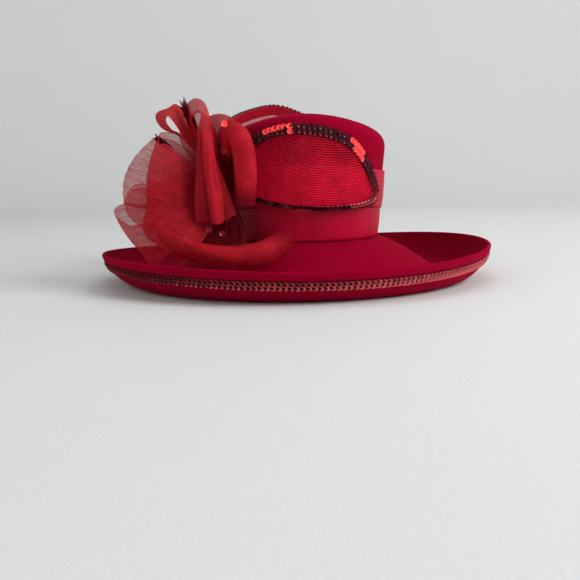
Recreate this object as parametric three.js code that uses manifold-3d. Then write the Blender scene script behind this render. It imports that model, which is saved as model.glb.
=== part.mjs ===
// Wide-brim dress hat: blocked felt crown and brim, two satin hatbands, two sequin-edged
// mesh side loops and a rosette of stiff mesh ribbon loops with a feather spray.
// Millimetres, +Z up, +X to the wearer's left as seen from the front, -Y towards the viewer.
// z = 0 is the flat ring on the underside of the brim on which the hat rests.
import * as THREE from 'three';
import { mergeVertices } from 'three/addons/utils/BufferGeometryUtils.js';
import Module from 'manifold-3d';

const wasm = await Module();
wasm.setup();
const { Manifold, Mesh: ManifoldMesh } = wasm;

// Driving dimensions

const GAP = 0.3; // clearance between touching pieces
const AROUND = 44; // steps round the crown, brim and bands

const CROWN = {
  centreX: 10, // the brim is cut wider on the trimmed side
  baseZ: 46.8,
  halfWidth: 81,
  halfDepth: 96,
  flareX: 0.103, // outward lean of the wall per millimetre of height
  flareY: 0.076,
  crestZ: 181,
  archX: 0.003, // fall of the tip per square millimetre from its middle
  archY: 0.0006,
  shoulder: 14,
  felt: 2.4,
};

const BRIM = {
  halfWidth: 215,
  halfDepth: 220,
  felt: 2.4,
  collarZ: 58, // top of the collar inside the crown
  rootDrop: 0.4, // drop of the underside where it leaves the collar
  flatFrom: 0.68, // share of the brim's width where the resting ring starts
  flatTo: 0.715,
  blend: 0.88, // share of the slope after which it eases into the ring
  curl: 74, // degrees that the edge turns up
  curlSteps: 5,
  rimZ: 30.8,
  rimTilt: 2.7, // right side of the rim above its middle height
  rimSaddle: 3.5, // sides of the rim above its front and back
  rimFront: 2.5, // front of the rim above its middle height
  rimTwist: 3.2, // back right and front left of the rim above the other two quarters
  hem: 7, // turned edge of the felt
  hemFelt: 3.8,
};

const BAND = { satin: 1.2, lowerFrom: 47.2, lowerTo: 85, upperFrom: 77, upperTo: 117.5, upperRise: 8 };

const TRIM = { below: 7.3, width: 10.2, thickness: 1.1, stand: 1.0 };

const PETAL = { mesh: 1.4, stand: 0.8, lean: 0.12, puff: 2.6, trimWidth: 12, trimThickness: 1.1, steps: 32 };

const RIBBON = {
  thickness: 1.0,
  across: 2,
  stations: 12,
  petalStations: 16,
  clearance: 0.35,
  tolerance: 0.08, // of the faces that a cut ribbon keeps
  root: 0.75, // share of the knot's radius at which ribbons start, before the knot is cut away
  rootWidth: 0.8, // share of the knot's radius
  rootSpread: 1.3, // half the distance between the two legs of a loop at the knot
  fullness: 0.8, // how soon a loop widens: lower is sooner
};

const KNOT = { around: -52, z: 100, stand: 12.8, radius: 11, squash: 0.8 };

const COLOURS = { felt: 0x9b1235, satin: 0xb71738, crin: 0xa0202c, sequin: 0x5a0a1a, feather: 0x3a0612 };

// Small helpers

const radians = THREE.MathUtils.degToRad;
const lerp = THREE.MathUtils.lerp;
const vec = (x, y, z) => new THREE.Vector3(x, y, z);

function feltMaterial() {
  return new THREE.MeshStandardMaterial({ color: COLOURS.felt, roughness: 0.95, metalness: 0 });
}

function satinMaterial() {
  return new THREE.MeshStandardMaterial({ color: COLOURS.satin, roughness: 0.42, metalness: 0 });
}

function crinMaterial() {
  return new THREE.MeshStandardMaterial({ color: COLOURS.crin, roughness: 0.5, metalness: 0 });
}

function sequinMaterial() {
  return new THREE.MeshStandardMaterial({ color: COLOURS.sequin, roughness: 0.2, metalness: 0.6 });
}

function featherMaterial() {
  return new THREE.MeshStandardMaterial({ color: COLOURS.feather, roughness: 0.8, metalness: 0 });
}

// Geometry from triangles of points: shared corners merged, flat triangles dropped, faces outward.
function solidFrom(triangles) {
  const loose = new THREE.BufferGeometry();
  const flat = triangles.flatMap((corner) => [corner.x, corner.y, corner.z]);
  loose.setAttribute('position', new THREE.Float32BufferAttribute(flat, 3));
  const merged = mergeVertices(loose, 1e-3);
  const source = merged.index.array;
  const position = merged.attributes.position;
  const kept = [];
  let volume = 0;
  const corners = [vec(0, 0, 0), vec(0, 0, 0), vec(0, 0, 0)];
  for (let i = 0; i < source.length; i += 3) {
    const [a, b, c] = [source[i], source[i + 1], source[i + 2]];
    if (a === b || b === c || c === a) {
      continue;
    }
    kept.push(a, b, c);
    [a, b, c].forEach((index, k) => corners[k].fromBufferAttribute(position, index));
    volume += corners[0].dot(corners[1].clone().cross(corners[2])) / 6;
  }
  if (volume < 0) {
    for (let i = 0; i < kept.length; i += 3) {
      [kept[i + 1], kept[i + 2]] = [kept[i + 2], kept[i + 1]];
    }
  }
  merged.setIndex(kept);
  return merged;
}

function quad(out, a, b, c, d) {
  out.push(a, b, c, a, c, d);
}

// Solid of closed section loops that follow each other round and back to the first.
function ringSolid(sections) {
  const out = [];
  const count = sections.length;
  const points = sections[0].length;
  for (let i = 0; i < count; i += 1) {
    const here = sections[i];
    const next = sections[(i + 1) % count];
    for (let j = 0; j < points; j += 1) {
      const k = (j + 1) % points;
      quad(out, here[j], here[k], next[k], next[j]);
    }
  }
  return solidFrom(out);
}

function gridNormals(grid) {
  const rows = grid.length;
  const columns = grid[0].length;
  return grid.map((row, i) => row.map((point, j) => {
    const before = grid[Math.max(i - 1, 0)][j];
    const after = grid[Math.min(i + 1, rows - 1)][j];
    const left = row[Math.max(j - 1, 0)];
    const right = row[Math.min(j + 1, columns - 1)];
    return after.clone().sub(before).cross(right.clone().sub(left)).normalize();
  }));
}

// Solid between two skins of closed rings of points, closed at their first and last rings.
function skinSolid(top, bottom) {
  const out = [];
  const last = top.length - 1;
  const columns = top[0].length;
  for (let j = 0; j < columns; j += 1) {
    const k = (j + 1) % columns;
    for (let i = 0; i < last; i += 1) {
      quad(out, top[i][j], top[i + 1][j], top[i + 1][k], top[i][k]);
      quad(out, bottom[i][j], bottom[i][k], bottom[i + 1][k], bottom[i + 1][j]);
    }
    quad(out, top[0][j], top[0][k], bottom[0][k], bottom[0][j]);
    quad(out, top[last][j], bottom[last][j], bottom[last][k], top[last][k]);
  }
  return solidFrom(out);
}

function toManifold(geometry) {
  return new Manifold(new ManifoldMesh({
    numProp: 3,
    vertProperties: new Float32Array(geometry.attributes.position.array),
    triVerts: new Uint32Array(geometry.index.array),
  }));
}

function fromManifold(solid) {
  const mesh = solid.getMesh();
  const geometry = new THREE.BufferGeometry();
  geometry.setAttribute('position', new THREE.BufferAttribute(new Float32Array(mesh.vertProperties), 3));
  geometry.setIndex(new THREE.BufferAttribute(new Uint32Array(mesh.triVerts), 1));
  return geometry;
}

// Wall of even thickness about a grid of points, joined from a hull over each of its cells.
function wallSolid(grid, thickness) {
  const normals = gridNormals(grid);
  const faces = (i, j) => [0.5, -0.5].map(
    (share) => grid[i][j].clone().addScaledVector(normals[i][j], share * thickness).toArray(),
  );
  const cells = [];
  for (let i = 1; i < grid.length; i += 1) {
    for (let j = 1; j < grid[i].length; j += 1) {
      const corners = [[i - 1, j - 1], [i - 1, j], [i, j - 1], [i, j]];
      cells.push(Manifold.hull(corners.flatMap(([row, column]) => faces(row, column))));
    }
  }
  return Manifold.union(cells);
}

function largestBody(solid) {
  return solid.decompose().reduce((best, body) => (body.volume() > best.volume() ? body : best));
}

// Crown

// Point on the crown's wall: angle in radians from +X, height, distance outside the felt.
function wallPoint(angle, z, outside = 0) {
  const rise = z - CROWN.baseZ;
  const halfWidth = CROWN.halfWidth + CROWN.flareX * rise + outside;
  const halfDepth = CROWN.halfDepth + CROWN.flareY * rise + outside;
  return vec(CROWN.centreX + halfWidth * Math.cos(angle), halfDepth * Math.sin(angle), z);
}

function tipZ(x, y) {
  return CROWN.crestZ - CROWN.archX * (x - CROWN.centreX) ** 2 - CROWN.archY * y * y;
}

// Height at which the wall, drawn on upwards, meets the tip.
function edgeZ(angle, outside) {
  let z = CROWN.crestZ;
  for (let pass = 0; pass < 6; pass += 1) {
    const point = wallPoint(angle, z, outside);
    z = tipZ(point.x, point.y) + outside;
  }
  return z;
}

function quadraticPoint(a, b, c, t) {
  const first = a.clone().lerp(b, t);
  return first.lerp(b.clone().lerp(c, t), t);
}

// One side of the crown's felt at an angle, from its lower edge up to the middle of the tip.
function crownLine(angle, outside) {
  const centre = vec(CROWN.centreX, 0, 0);
  const edge = wallPoint(angle, edgeZ(angle, outside), outside);
  const reach = Math.hypot(edge.x - centre.x, edge.y);
  const onTip = (share) => {
    const x = lerp(centre.x, edge.x, share);
    const y = edge.y * share;
    return vec(x, y, tipZ(x, y) + outside);
  };
  const wallTop = wallPoint(angle, edge.z - CROWN.shoulder, outside);
  const tipEnd = onTip(1 - CROWN.shoulder / reach);
  const line = [CROWN.baseZ, lerp(CROWN.baseZ, wallTop.z, 0.5)].map((z) => wallPoint(angle, z, outside));
  [0, 0.25, 0.5, 0.75].forEach((t) => line.push(quadraticPoint(wallTop, edge, tipEnd, t)));
  [1, 0.66, 0.33, 0].forEach((share) => line.push(onTip(share * (1 - CROWN.shoulder / reach))));
  return line;
}

function crownGeometry() {
  const sections = [];
  for (let i = 0; i < AROUND; i += 1) {
    const angle = (2 * Math.PI * i) / AROUND;
    sections.push([...crownLine(angle, 0), ...crownLine(angle, -CROWN.felt).reverse()]);
  }
  return ringSolid(sections);
}

// Brim

function rimHeight(angle) {
  const sides = BRIM.rimTilt * Math.cos(angle) + BRIM.rimSaddle * Math.cos(2 * angle);
  const ends = BRIM.rimTwist * Math.sin(2 * angle) - BRIM.rimFront * Math.sin(angle);
  return BRIM.rimZ + sides + ends;
}

// Plan point of the brim at an angle: 0 at the crown's wall, 1 at the rim.
function brimPlan(angle, share) {
  const inner = wallPoint(angle, CROWN.baseZ);
  const x = lerp(inner.x, BRIM.halfWidth * Math.cos(angle), share);
  const y = lerp(inner.y, BRIM.halfDepth * Math.sin(angle), share);
  return vec(x, y, 0);
}

// Underside of the brim as points of distance out from the crown's wall and height.
function brimUnderside(angle) {
  const width = brimPlan(angle, 1).distanceTo(brimPlan(angle, 0));
  const under = CROWN.baseZ - GAP - BRIM.felt - BRIM.rootDrop;
  const slopeEnd = BRIM.flatFrom * width;
  const easeFrom = BRIM.blend * slopeEnd;
  const slope = under / (easeFrom + (slopeEnd - easeFrom) / 2);
  const line = [0, 1].map((share) => [share * easeFrom, under - slope * share * easeFrom]);
  const ease = slopeEnd - easeFrom;
  const left = line[1][1];
  line.push([easeFrom + ease / 2, left - slope * (ease / 2) + slope * ease / 8]);
  line.push([slopeEnd, 0]);
  const curlFrom = BRIM.flatTo * width;
  line.push([curlFrom, 0]);
  const curlWidth = width - curlFrom;
  const height = rimHeight(angle);
  const turn = radians(BRIM.curl);
  for (let i = 1; i <= BRIM.curlSteps; i += 1) {
    const at = (turn * i) / BRIM.curlSteps;
    const out = curlFrom + curlWidth * Math.sin(at) / Math.sin(turn);
    line.push([out, height * (1 - Math.cos(at)) / (1 - Math.cos(turn))]);
  }
  return { line, width };
}

// Offsets a line of [out, z] points to its left, or to its right by a negative distance.
function offsetLine(line, away) {
  return line.map(([out, z], i) => {
    const [a, b] = [line[Math.max(i - 1, 0)], line[Math.min(i + 1, line.length - 1)]];
    const run = Math.hypot(b[0] - a[0], b[1] - a[1]);
    return [out - ((b[1] - a[1]) / run) * away, z + ((b[0] - a[0]) / run) * away];
  });
}

function lineLength(line) {
  let length = 0;
  for (let i = 1; i < line.length; i += 1) {
    length += Math.hypot(line[i][0] - line[i - 1][0], line[i][1] - line[i - 1][1]);
  }
  return length;
}

// Part of a line of [out, z] points between two distances measured back from its end.
function stretchFromEnd(line, from, to, points) {
  const lengths = [0];
  for (let i = line.length - 1; i > 0; i -= 1) {
    const step = Math.hypot(line[i][0] - line[i - 1][0], line[i][1] - line[i - 1][1]);
    lengths.push(lengths[lengths.length - 1] + step);
  }
  const at = (distance) => {
    let i = 1;
    while (i < lengths.length - 1 && lengths[i] < distance) {
      i += 1;
    }
    const share = (distance - lengths[i - 1]) / (lengths[i] - lengths[i - 1]);
    const a = line[line.length - i];
    const b = line[line.length - 1 - i];
    return [lerp(a[0], b[0], share), lerp(a[1], b[1], share)];
  };
  return Array.from({ length: points }, (unused, i) => at(lerp(from, to, i / (points - 1))));
}

function brimToSpace(angle, width, points) {
  return points.map(([out, z]) => {
    const plan = brimPlan(angle, out / width);
    return vec(plan.x, plan.y, z);
  });
}

function brimGeometry() {
  const sections = [];
  for (let i = 0; i < AROUND; i += 1) {
    const angle = (2 * Math.PI * i) / AROUND;
    const { line, width } = brimUnderside(angle);
    const topSide = offsetLine(line, BRIM.felt);
    topSide[0] = [0, CROWN.baseZ - GAP];
    const lip = stretchFromEnd(line, 0, BRIM.hem, 3);
    const proud = offsetLine(lip, BRIM.hemFelt - BRIM.felt);
    const slope = line.slice(0, -BRIM.curlSteps - 1);
    const curlLength = lineLength(line.slice(-BRIM.curlSteps - 1));
    const belowHem = stretchFromEnd(line, BRIM.hem, curlLength, BRIM.curlSteps - 1);
    const collar = CROWN.felt + GAP;
    const section = [
      [-collar, BRIM.collarZ],
      [-collar, CROWN.baseZ - GAP],
      ...topSide,
      ...proud,
      ...belowHem,
      ...slope.reverse(),
      [-collar - BRIM.felt, CROWN.baseZ - GAP],
      [-collar - BRIM.felt, BRIM.collarZ],
    ];
    sections.push(brimToSpace(angle, width, section));
  }
  return ringSolid(sections);
}

function brimTrimGeometry() {
  const sections = [];
  for (let i = 0; i < AROUND; i += 1) {
    const angle = (2 * Math.PI * i) / AROUND;
    const { line, width } = brimUnderside(angle);
    const strip = stretchFromEnd(line, TRIM.below, TRIM.below + TRIM.width, 2);
    const near = offsetLine(strip, TRIM.stand);
    const far = offsetLine(strip, TRIM.stand + TRIM.thickness);
    sections.push(brimToSpace(angle, width, [...near, ...far.reverse()]));
  }
  return ringSolid(sections);
}

// Hatbands

function bandGeometry(inside, fromZ, toZ) {
  const sections = [];
  for (let i = 0; i < AROUND; i += 1) {
    const angle = (2 * Math.PI * i) / AROUND;
    const outside = inside + BAND.satin;
    sections.push([
      wallPoint(angle, fromZ(angle), inside),
      wallPoint(angle, toZ(angle), inside),
      wallPoint(angle, toZ(angle), outside),
      wallPoint(angle, fromZ(angle), outside),
    ]);
  }
  return ringSolid(sections);
}

const level = (z) => () => z;
const rising = (z) => (angle) => z + BAND.upperRise * Math.sin(angle) ** 2;
const BAND_INSIDE = { lower: GAP, upper: GAP + BAND.satin + GAP };
const BANDS_OUTSIDE = BAND_INSIDE.upper + BAND.satin;

// Side loops: ovals of mesh laid against the crown, edged with sequin trim

// Outline rows: degrees round the wall from the middle of the loop's side, height.
const FRONT_LOOP = [
  { around: -52, z: 118 },
  { around: -44, z: 142 },
  { around: -27, z: 160 },
  { around: -8, z: 167 },
  { around: 13, z: 163 },
  { around: 30, z: 152 },
  { around: 43, z: 132 },
  { around: 54, z: 105 },
  { around: 53, z: 87 },
  { around: 35, z: 81 },
  { around: 5, z: 80 },
  { around: -25, z: 87 },
  { around: -45, z: 100 },
];

const BACK_LOOP = [
  { around: -98, z: 128 },
  { around: -80, z: 157 },
  { around: -62, z: 176 },
  { around: -45, z: 189 },
  { around: -20, z: 199 },
  { around: -2, z: 191 },
  { around: 16, z: 172 },
  { around: 30, z: 148 },
  { around: 34, z: 128 },
  { around: 26, z: 115 },
  { around: 5, z: 108 },
  { around: -25, z: 110 },
  { around: -56, z: 112 },
  { around: -82, z: 116 },
];

// Smooth closed outline through the rows, as points of arc along the wall and height.
function loopOutline(rows) {
  const arc = radians(1) * (CROWN.halfWidth + CROWN.halfDepth) / 2;
  const curve = new THREE.CatmullRomCurve3(rows.map((row) => vec(row.around * arc, row.z, 0)), true);
  return { arc, points: curve.getSpacedPoints(PETAL.steps).slice(0, PETAL.steps) };
}

function loopCentre(points) {
  const sum = points.reduce((total, point) => total.add(point), vec(0, 0, 0));
  return sum.divideScalar(points.length);
}

// Ring of points inside the outline at an even distance from it.
function insetOutline(points, inset) {
  const count = points.length;
  return points.map((point, i) => {
    const along = points[(i + 1) % count].clone().sub(points[(i + count - 1) % count]).normalize();
    return vec(point.x + along.y * inset, point.y - along.x * inset, 0);
  });
}

// Places a point of arc and height on the front (-1) or back (1) of the crown.
function onSide(side, arc, point, outside) {
  const around = radians(point.x / arc);
  const angle = side * (Math.PI / 2 - around);
  return wallPoint(angle, point.y, outside);
}

// Solid between two distances outside the wall, over rings of a point, and its rise, each.
function wallSkins(rings, side, arc, inside, outside) {
  const skin = (distance) => rings.map((ring) => ring.map(
    ({ point, rise }) => onSide(side, arc, point, distance + rise),
  ));
  return skinSolid(skin(outside), skin(inside));
}

// Rings from the outline to the trim's inner edge and on to the middle of the loop.
function loopRings(points) {
  const centre = loopCentre(points);
  const edge = insetOutline(points, PETAL.trimWidth);
  const rings = [0, PETAL.trimWidth].map((inset) => insetOutline(points, inset).map(
    (point) => ({ point, rise: PETAL.lean * inset }),
  ));
  [0.5, 0].forEach((share) => rings.push(edge.map(
    (point) => ({ point: centre.clone().lerp(point, share), rise: PETAL.puff }),
  )));
  return rings;
}

function sideLoopGeometry(rows, side) {
  const { arc, points } = loopOutline(rows);
  const stand = BANDS_OUTSIDE + PETAL.stand;
  return wallSkins(loopRings(points), side, arc, stand, stand + PETAL.mesh);
}

// Room that a side loop and its trim take up, with the clearance, down to the wall.
function sideLoopRoom(rows, side) {
  const { arc, points } = loopOutline(rows);
  const top = BANDS_OUTSIDE + PETAL.stand + PETAL.mesh + PETAL.trimThickness + 2 * GAP;
  return wallSkins(loopRings(insetOutline(points, -GAP)), side, arc, 0, top);
}

// Room that the crown takes up inside its bands, with the clearance.
function crownRoom() {
  const angles = Array.from({ length: AROUND }, (unused, i) => (2 * Math.PI * i) / AROUND);
  const lines = angles.map((angle) => crownLine(angle, BANDS_OUTSIDE + GAP));
  const rings = lines[0].map((unused, j) => lines.map((line) => line[j]));
  return capped(rings);
}

function sideTrimGeometry(rows, side) {
  const { arc, points } = loopOutline(rows);
  const stand = BANDS_OUTSIDE + PETAL.stand + PETAL.mesh + GAP;
  return wallSkins(loopRings(points).slice(0, 2), side, arc, stand, stand + PETAL.trimThickness);
}

// Rosette: loops of stiff mesh ribbon gathered on a knot at the crown's front left

const UP = vec(0, 0, 1);

function knotCentre() {
  return wallPoint(radians(KNOT.around - 90), KNOT.z, KNOT.stand);
}

function knotGeometry(spare) {
  const ball = new THREE.SphereGeometry(KNOT.radius + spare, 10, 6);
  ball.deleteAttribute('normal');
  ball.deleteAttribute('uv');
  ball.scale(1, KNOT.squash, 1);
  ball.rotateZ(radians(KNOT.around));
  const centre = knotCentre();
  ball.translate(centre.x, centre.y, centre.z);
  const corners = ball.index.array;
  const position = ball.attributes.position;
  return solidFrom(Array.from(corners, (index) => vec(0, 0, 0).fromBufferAttribute(position, index)));
}

// Loop rows: azimuth of the loop from +X and its lift in degrees, turn of the ribbon's width about
// that direction, reach of the fold, opening between the two legs, width at the fold, lean of the
// fold outwards along its width.
const LOOPS = [
  { name: 'loop_back_high', azimuth: 145, lift: 54, turn: 80, reach: 94, opening: 20, width: 38, lean: 0 },
  { name: 'loop_back_low', azimuth: 139, lift: -2, turn: 84, reach: 98, opening: 16, width: 44, lean: 0 },
];

const LOOP_PEAK = 0.77; // greatest value of sin(2 pi t) sin(pi t), the profile of a loop's opening

// Grid of points of one loop: out from the knot, round the fold and back beside itself.
function loopGrid(row, spare) {
  const [azimuth, lift, turn] = [radians(row.azimuth), radians(row.lift), radians(row.turn)];
  const aim = vec(Math.cos(lift) * Math.cos(azimuth), Math.cos(lift) * Math.sin(azimuth), Math.sin(lift));
  const level = UP.clone().cross(aim).normalize();
  const raised = aim.clone().cross(level);
  const width = level.clone().multiplyScalar(Math.cos(turn)).addScaledVector(raised, Math.sin(turn));
  const apart = aim.clone().cross(width);
  const start = KNOT.radius * RIBBON.root - spare;
  const rootWidth = KNOT.radius * RIBBON.rootWidth;
  const grid = [];
  for (let i = 0; i <= RIBBON.stations; i += 1) {
    const t = i / RIBBON.stations;
    const swell = Math.sin(Math.PI * t);
    const out = start + (row.reach - start) * (1 - Math.cos(2 * Math.PI * t)) / 2;
    const side = (row.opening / 2) * Math.sin(2 * Math.PI * t) * swell / LOOP_PEAK;
    const centre = knotCentre().addScaledVector(aim, out);
    centre.addScaledVector(apart, side + RIBBON.rootSpread * Math.cos(Math.PI * t));
    const half = lerp(rootWidth, row.width, swell ** RIBBON.fullness) / 2 + spare;
    const leaning = width.clone().addScaledVector(aim, row.lean * swell);
    grid.push(acrossPoints(centre, leaning, half));
  }
  return grid;
}

function acrossPoints(centre, width, half) {
  return Array.from({ length: RIBBON.across }, (unused, j) => (
    centre.clone().addScaledVector(width, half * (2 * j / (RIBBON.across - 1) - 1))
  ));
}

// Place inside the knot towards a point; what lies inside the knot is cut away later.
function rootTowards(row, spare) {
  const centre = knotCentre();
  const aim = vec(row.x, row.y, row.z).sub(centre).normalize();
  return centre.addScaledVector(aim, KNOT.radius * RIBBON.root - spare);
}

// Smooth curve through single values, read from the x of its points.
function valueCurve(values) {
  return new THREE.CatmullRomCurve3(values.map((value) => vec(value, 0, 0)));
}

// Ribbon rows: place of the ribbon's first and second edge, and how far its middle bulges away from
// the knot. Each runs from the knot round its fold and, unless it hangs, back to the knot.
const PETALS = {
  tail_loop: [
    { first: [-77, -84, 111], second: [-75, -72, 115], bulge: 0 },
    { first: [-91, -98, 143], second: [-97, -80, 149], bulge: 0 },
    { first: [-98, -106, 162], second: [-108, -84, 165], bulge: 0 },
    { first: [-102, -111, 172], second: [-109, -85, 186], bulge: 0 },
    { first: [-99, -114, 176], second: [-105, -87, 192], bulge: 0 },
    { first: [-95, -117, 178], second: [-98, -90, 194], bulge: 0 },
    { first: [-92, -119, 176], second: [-90, -94, 188], bulge: 0 },
    { first: [-94, -123, 162], second: [-84, -105, 167], bulge: 0 },
    { first: [-96, -128, 138], second: [-79, -119, 139], bulge: 0 },
    { first: [-99, -132, 102], second: [-66, -130, 101], bulge: 0 },
    { first: [-99, -133, 75], second: [-59, -131, 78], bulge: 0 },
  ],
  loop_top_left: [
    { first: [-82, -84, 114], second: [-79, -70, 122], bulge: 0 },
    { first: [-107, -98, 148], second: [-103, -74, 164], bulge: 0 },
    { first: [-120, -106, 169], second: [-119, -78, 189], bulge: 0 },
    { first: [-125, -108, 176], second: [-129, -80, 185], bulge: 0 },
    { first: [-128, -108, 173], second: [-139, -82, 181], bulge: 0 },
    { first: [-127, -107, 168], second: [-140, -83, 174], bulge: 0 },
    { first: [-122, -105, 162], second: [-133, -84, 164], bulge: 0 },
    { first: [-113, -102, 157], second: [-117, -82, 156], bulge: 0 },
    { first: [-89, -88, 122], second: [-88, -74, 127], bulge: 0 },
  ],
  loop_mid_left: [
    { first: [-85, -82, 122], second: [-85, -86, 100], bulge: 0 },
    { first: [-108, -88, 155], second: [-115, -92, 87], bulge: 3 },
    { first: [-132, -98, 161], second: [-145, -104, 84], bulge: 6 },
    { first: [-136, -106, 155], second: [-148, -112, 85], bulge: 6 },
    { first: [-134, -114, 148], second: [-147, -118, 87], bulge: 6 },
    { first: [-128, -118, 149], second: [-141, -122, 84], bulge: 6 },
    { first: [-117, -119, 155], second: [-128, -124, 81], bulge: 5 },
    { first: [-106, -115, 151], second: [-112, -122, 80], bulge: 3 },
    { first: [-85, -90, 114], second: [-85, -94, 93], bulge: 0 },
  ],
  loop_low_left: [
    { first: [-87, -70, 100], second: [-87, -74, 86], bulge: 0 },
    { first: [-154, -74, 88], second: [-141, -82, 47], bulge: 1 },
    { first: [-171, -78, 90], second: [-155, -88, 45], bulge: 2 },
    { first: [-183, -84, 88], second: [-164, -94, 47], bulge: 2 },
    { first: [-187, -92, 83], second: [-165, -100, 48], bulge: 2 },
    { first: [-182, -100, 77], second: [-160, -106, 43], bulge: 2 },
    { first: [-171, -105, 71], second: [-152, -112, 36], bulge: 2 },
    { first: [-158, -106, 70], second: [-140, -116, 31], bulge: 2 },
    { first: [-86, -84, 92], second: [-86, -88, 82], bulge: 0 },
  ],
  loop_low_fan: [
    { first: [-86, -74, 113], second: [-86, -78, 91], bulge: 0 },
    { first: [-152, -80, 110], second: [-142, -88, 64], bulge: 5 },
    { first: [-165, -84, 109], second: [-156, -92, 66], bulge: 7 },
    { first: [-172, -90, 102], second: [-161, -96, 68], bulge: 8 },
    { first: [-166, -97, 101], second: [-158, -101, 68], bulge: 8 },
    { first: [-156, -100, 106], second: [-147, -104, 65], bulge: 6 },
    { first: [-85, -84, 108], second: [-86, -88, 89], bulge: 0 },
  ],
  loop_high_fan: [
    { first: [-84, -60, 122], second: [-87, -64, 97], bulge: 0 },
    { first: [-120, -58, 149], second: [-133, -64, 86], bulge: 4 },
    { first: [-139, -58, 157], second: [-164, -66, 86], bulge: 9 },
    { first: [-147, -62, 157], second: [-178, -70, 90], bulge: 12 },
    { first: [-142, -68, 153], second: [-175, -76, 88], bulge: 12 },
    { first: [-124, -74, 142], second: [-142, -82, 83], bulge: 6 },
    { first: [-84, -66, 116], second: [-87, -70, 94], bulge: 0 },
  ],
  loop_under: [
    { first: [-82, -90, 93], second: [-69, -88, 93], bulge: 0 },
    { first: [-101, -98, 76], second: [-58, -96, 77], bulge: 2 },
    { first: [-110, -108, 59], second: [-53, -102, 61], bulge: 3 },
    { first: [-110, -121, 44], second: [-50, -111, 42], bulge: 3 },
    { first: [-109, -110, 42], second: [-52, -100, 40], bulge: 3 },
    { first: [-103, -92, 59], second: [-56, -92, 60], bulge: 2 },
    { first: [-83, -84, 89], second: [-69, -84, 89], bulge: 0 },
  ],
  loop_front_low: [
    { first: [-85, -96, 92], second: [-82, -100, 76], bulge: 0 },
    { first: [-117, -104, 84], second: [-107, -112, 43], bulge: 4 },
    { first: [-138, -106, 88], second: [-127, -118, 46], bulge: 8 },
    { first: [-148, -112, 87], second: [-140, -124, 51], bulge: 10 },
    { first: [-144, -120, 89], second: [-133, -132, 48], bulge: 10 },
    { first: [-127, -126, 90], second: [-116, -140, 42], bulge: 8 },
    { first: [-109, -124, 86], second: [-100, -142, 45], bulge: 6 },
    { first: [-84, -104, 87], second: [-81, -112, 73], bulge: 0 },
  ],
  loop_top: [
    { first: [-78, -86, 105], second: [-69, -86, 105], bulge: 0 },
    { first: [-85, -86, 152], second: [-62, -90, 150], bulge: 2 },
    { first: [-87, -85, 172], second: [-59, -91, 167], bulge: 5 },
    { first: [-87, -91, 175], second: [-58, -96, 171], bulge: 5 },
    { first: [-85, -97, 168], second: [-59, -101, 165], bulge: 4 },
    { first: [-82, -98, 143], second: [-62, -101, 143], bulge: 2 },
    { first: [-75, -92, 100], second: [-68, -92, 100], bulge: 0 },
  ],
};

const HANGING = 'tail_loop'; // ends free in front of the crown

// Row inside the knot towards a ribbon's first or last row.
function petalRoot(row, spare) {
  const [first, second] = [vec(...row.first), vec(...row.second)];
  const width = second.clone().sub(first).normalize().multiplyScalar(KNOT.radius * RIBBON.rootWidth / 2);
  const centre = rootTowards(first.lerp(second, 0.5), spare);
  return { first: centre.clone().sub(width).toArray(), second: centre.add(width).toArray(), bulge: 0 };
}

// Grid of points of one ribbon: its two edges and its bulging middle.
function petalGrid(name, spare) {
  const rows = PETALS[name];
  const last = name === HANGING ? [] : [petalRoot(rows[rows.length - 1], spare)];
  const all = [petalRoot(rows[0], spare), ...rows, ...last];
  const firsts = new THREE.CatmullRomCurve3(all.map((row) => vec(...row.first)));
  const seconds = new THREE.CatmullRomCurve3(all.map((row) => vec(...row.second)));
  const bulges = valueCurve(all.map((row) => row.bulge));
  return Array.from({ length: RIBBON.petalStations + 1 }, (unused, i) => {
    const t = i / RIBBON.petalStations;
    const [a, b] = [firsts.getPoint(t), seconds.getPoint(t)];
    const over = b.clone().sub(a).normalize().multiplyScalar(spare);
    const middle = a.clone().lerp(b, 0.5);
    const away = middle.clone().sub(knotCentre()).normalize();
    return [a.sub(over), middle.addScaledVector(away, bulges.getPoint(t).x), b.add(over)];
  });
}

// Tube rows: place and radius of a hollow tube of ribbon, open at both ends.
const SIDE_TUBE = [
  { x: -68, y: -104, z: 142, radius: 6 },
  { x: -60, y: -116, z: 159, radius: 9 },
  { x: -52, y: -124, z: 146, radius: 10 },
  { x: -50, y: -127, z: 122, radius: 10.5 },
  { x: -50, y: -126, z: 96, radius: 10 },
];

const LOW_ROLL = [
  { x: -120, y: -100, z: 66, radius: 11 },
  { x: -128, y: -124, z: 53, radius: 14 },
  { x: -104, y: -144, z: 42, radius: 12 },
  { x: -70, y: -151, z: 39, radius: 10.5 },
  { x: -34, y: -147, z: 43, radius: 12 },
  { x: -5, y: -132, z: 57, radius: 10.5 },
];

const TUBE = { sides: 10, stations: 12, rootRadius: 4 };

// Rings of points of a tube about a path that starts at the knot.
function tubeRings(rows, spare, less) {
  const root = rootTowards(rows[0], spare);
  const path = new THREE.CatmullRomCurve3([root, ...rows.map((row) => vec(row.x, row.y, row.z))]);
  const radii = valueCurve([TUBE.rootRadius, ...rows.map((row) => row.radius)]);
  const frames = path.computeFrenetFrames(TUBE.stations, false);
  return Array.from({ length: TUBE.stations + 1 }, (unused, i) => {
    const t = i / TUBE.stations;
    const endSpare = i === TUBE.stations ? spare : 0;
    const centre = path.getPointAt(t).addScaledVector(frames.tangents[i], endSpare);
    const [side, other] = [frames.normals[i], frames.binormals[i]];
    const radius = radii.getPoint(t).x - less + spare;
    return Array.from({ length: TUBE.sides }, (each, j) => {
      const at = (2 * Math.PI * j) / TUBE.sides;
      const across = centre.clone().addScaledVector(side, radius * Math.cos(at));
      return across.addScaledVector(other, radius * Math.sin(at));
    });
  });
}

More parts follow.
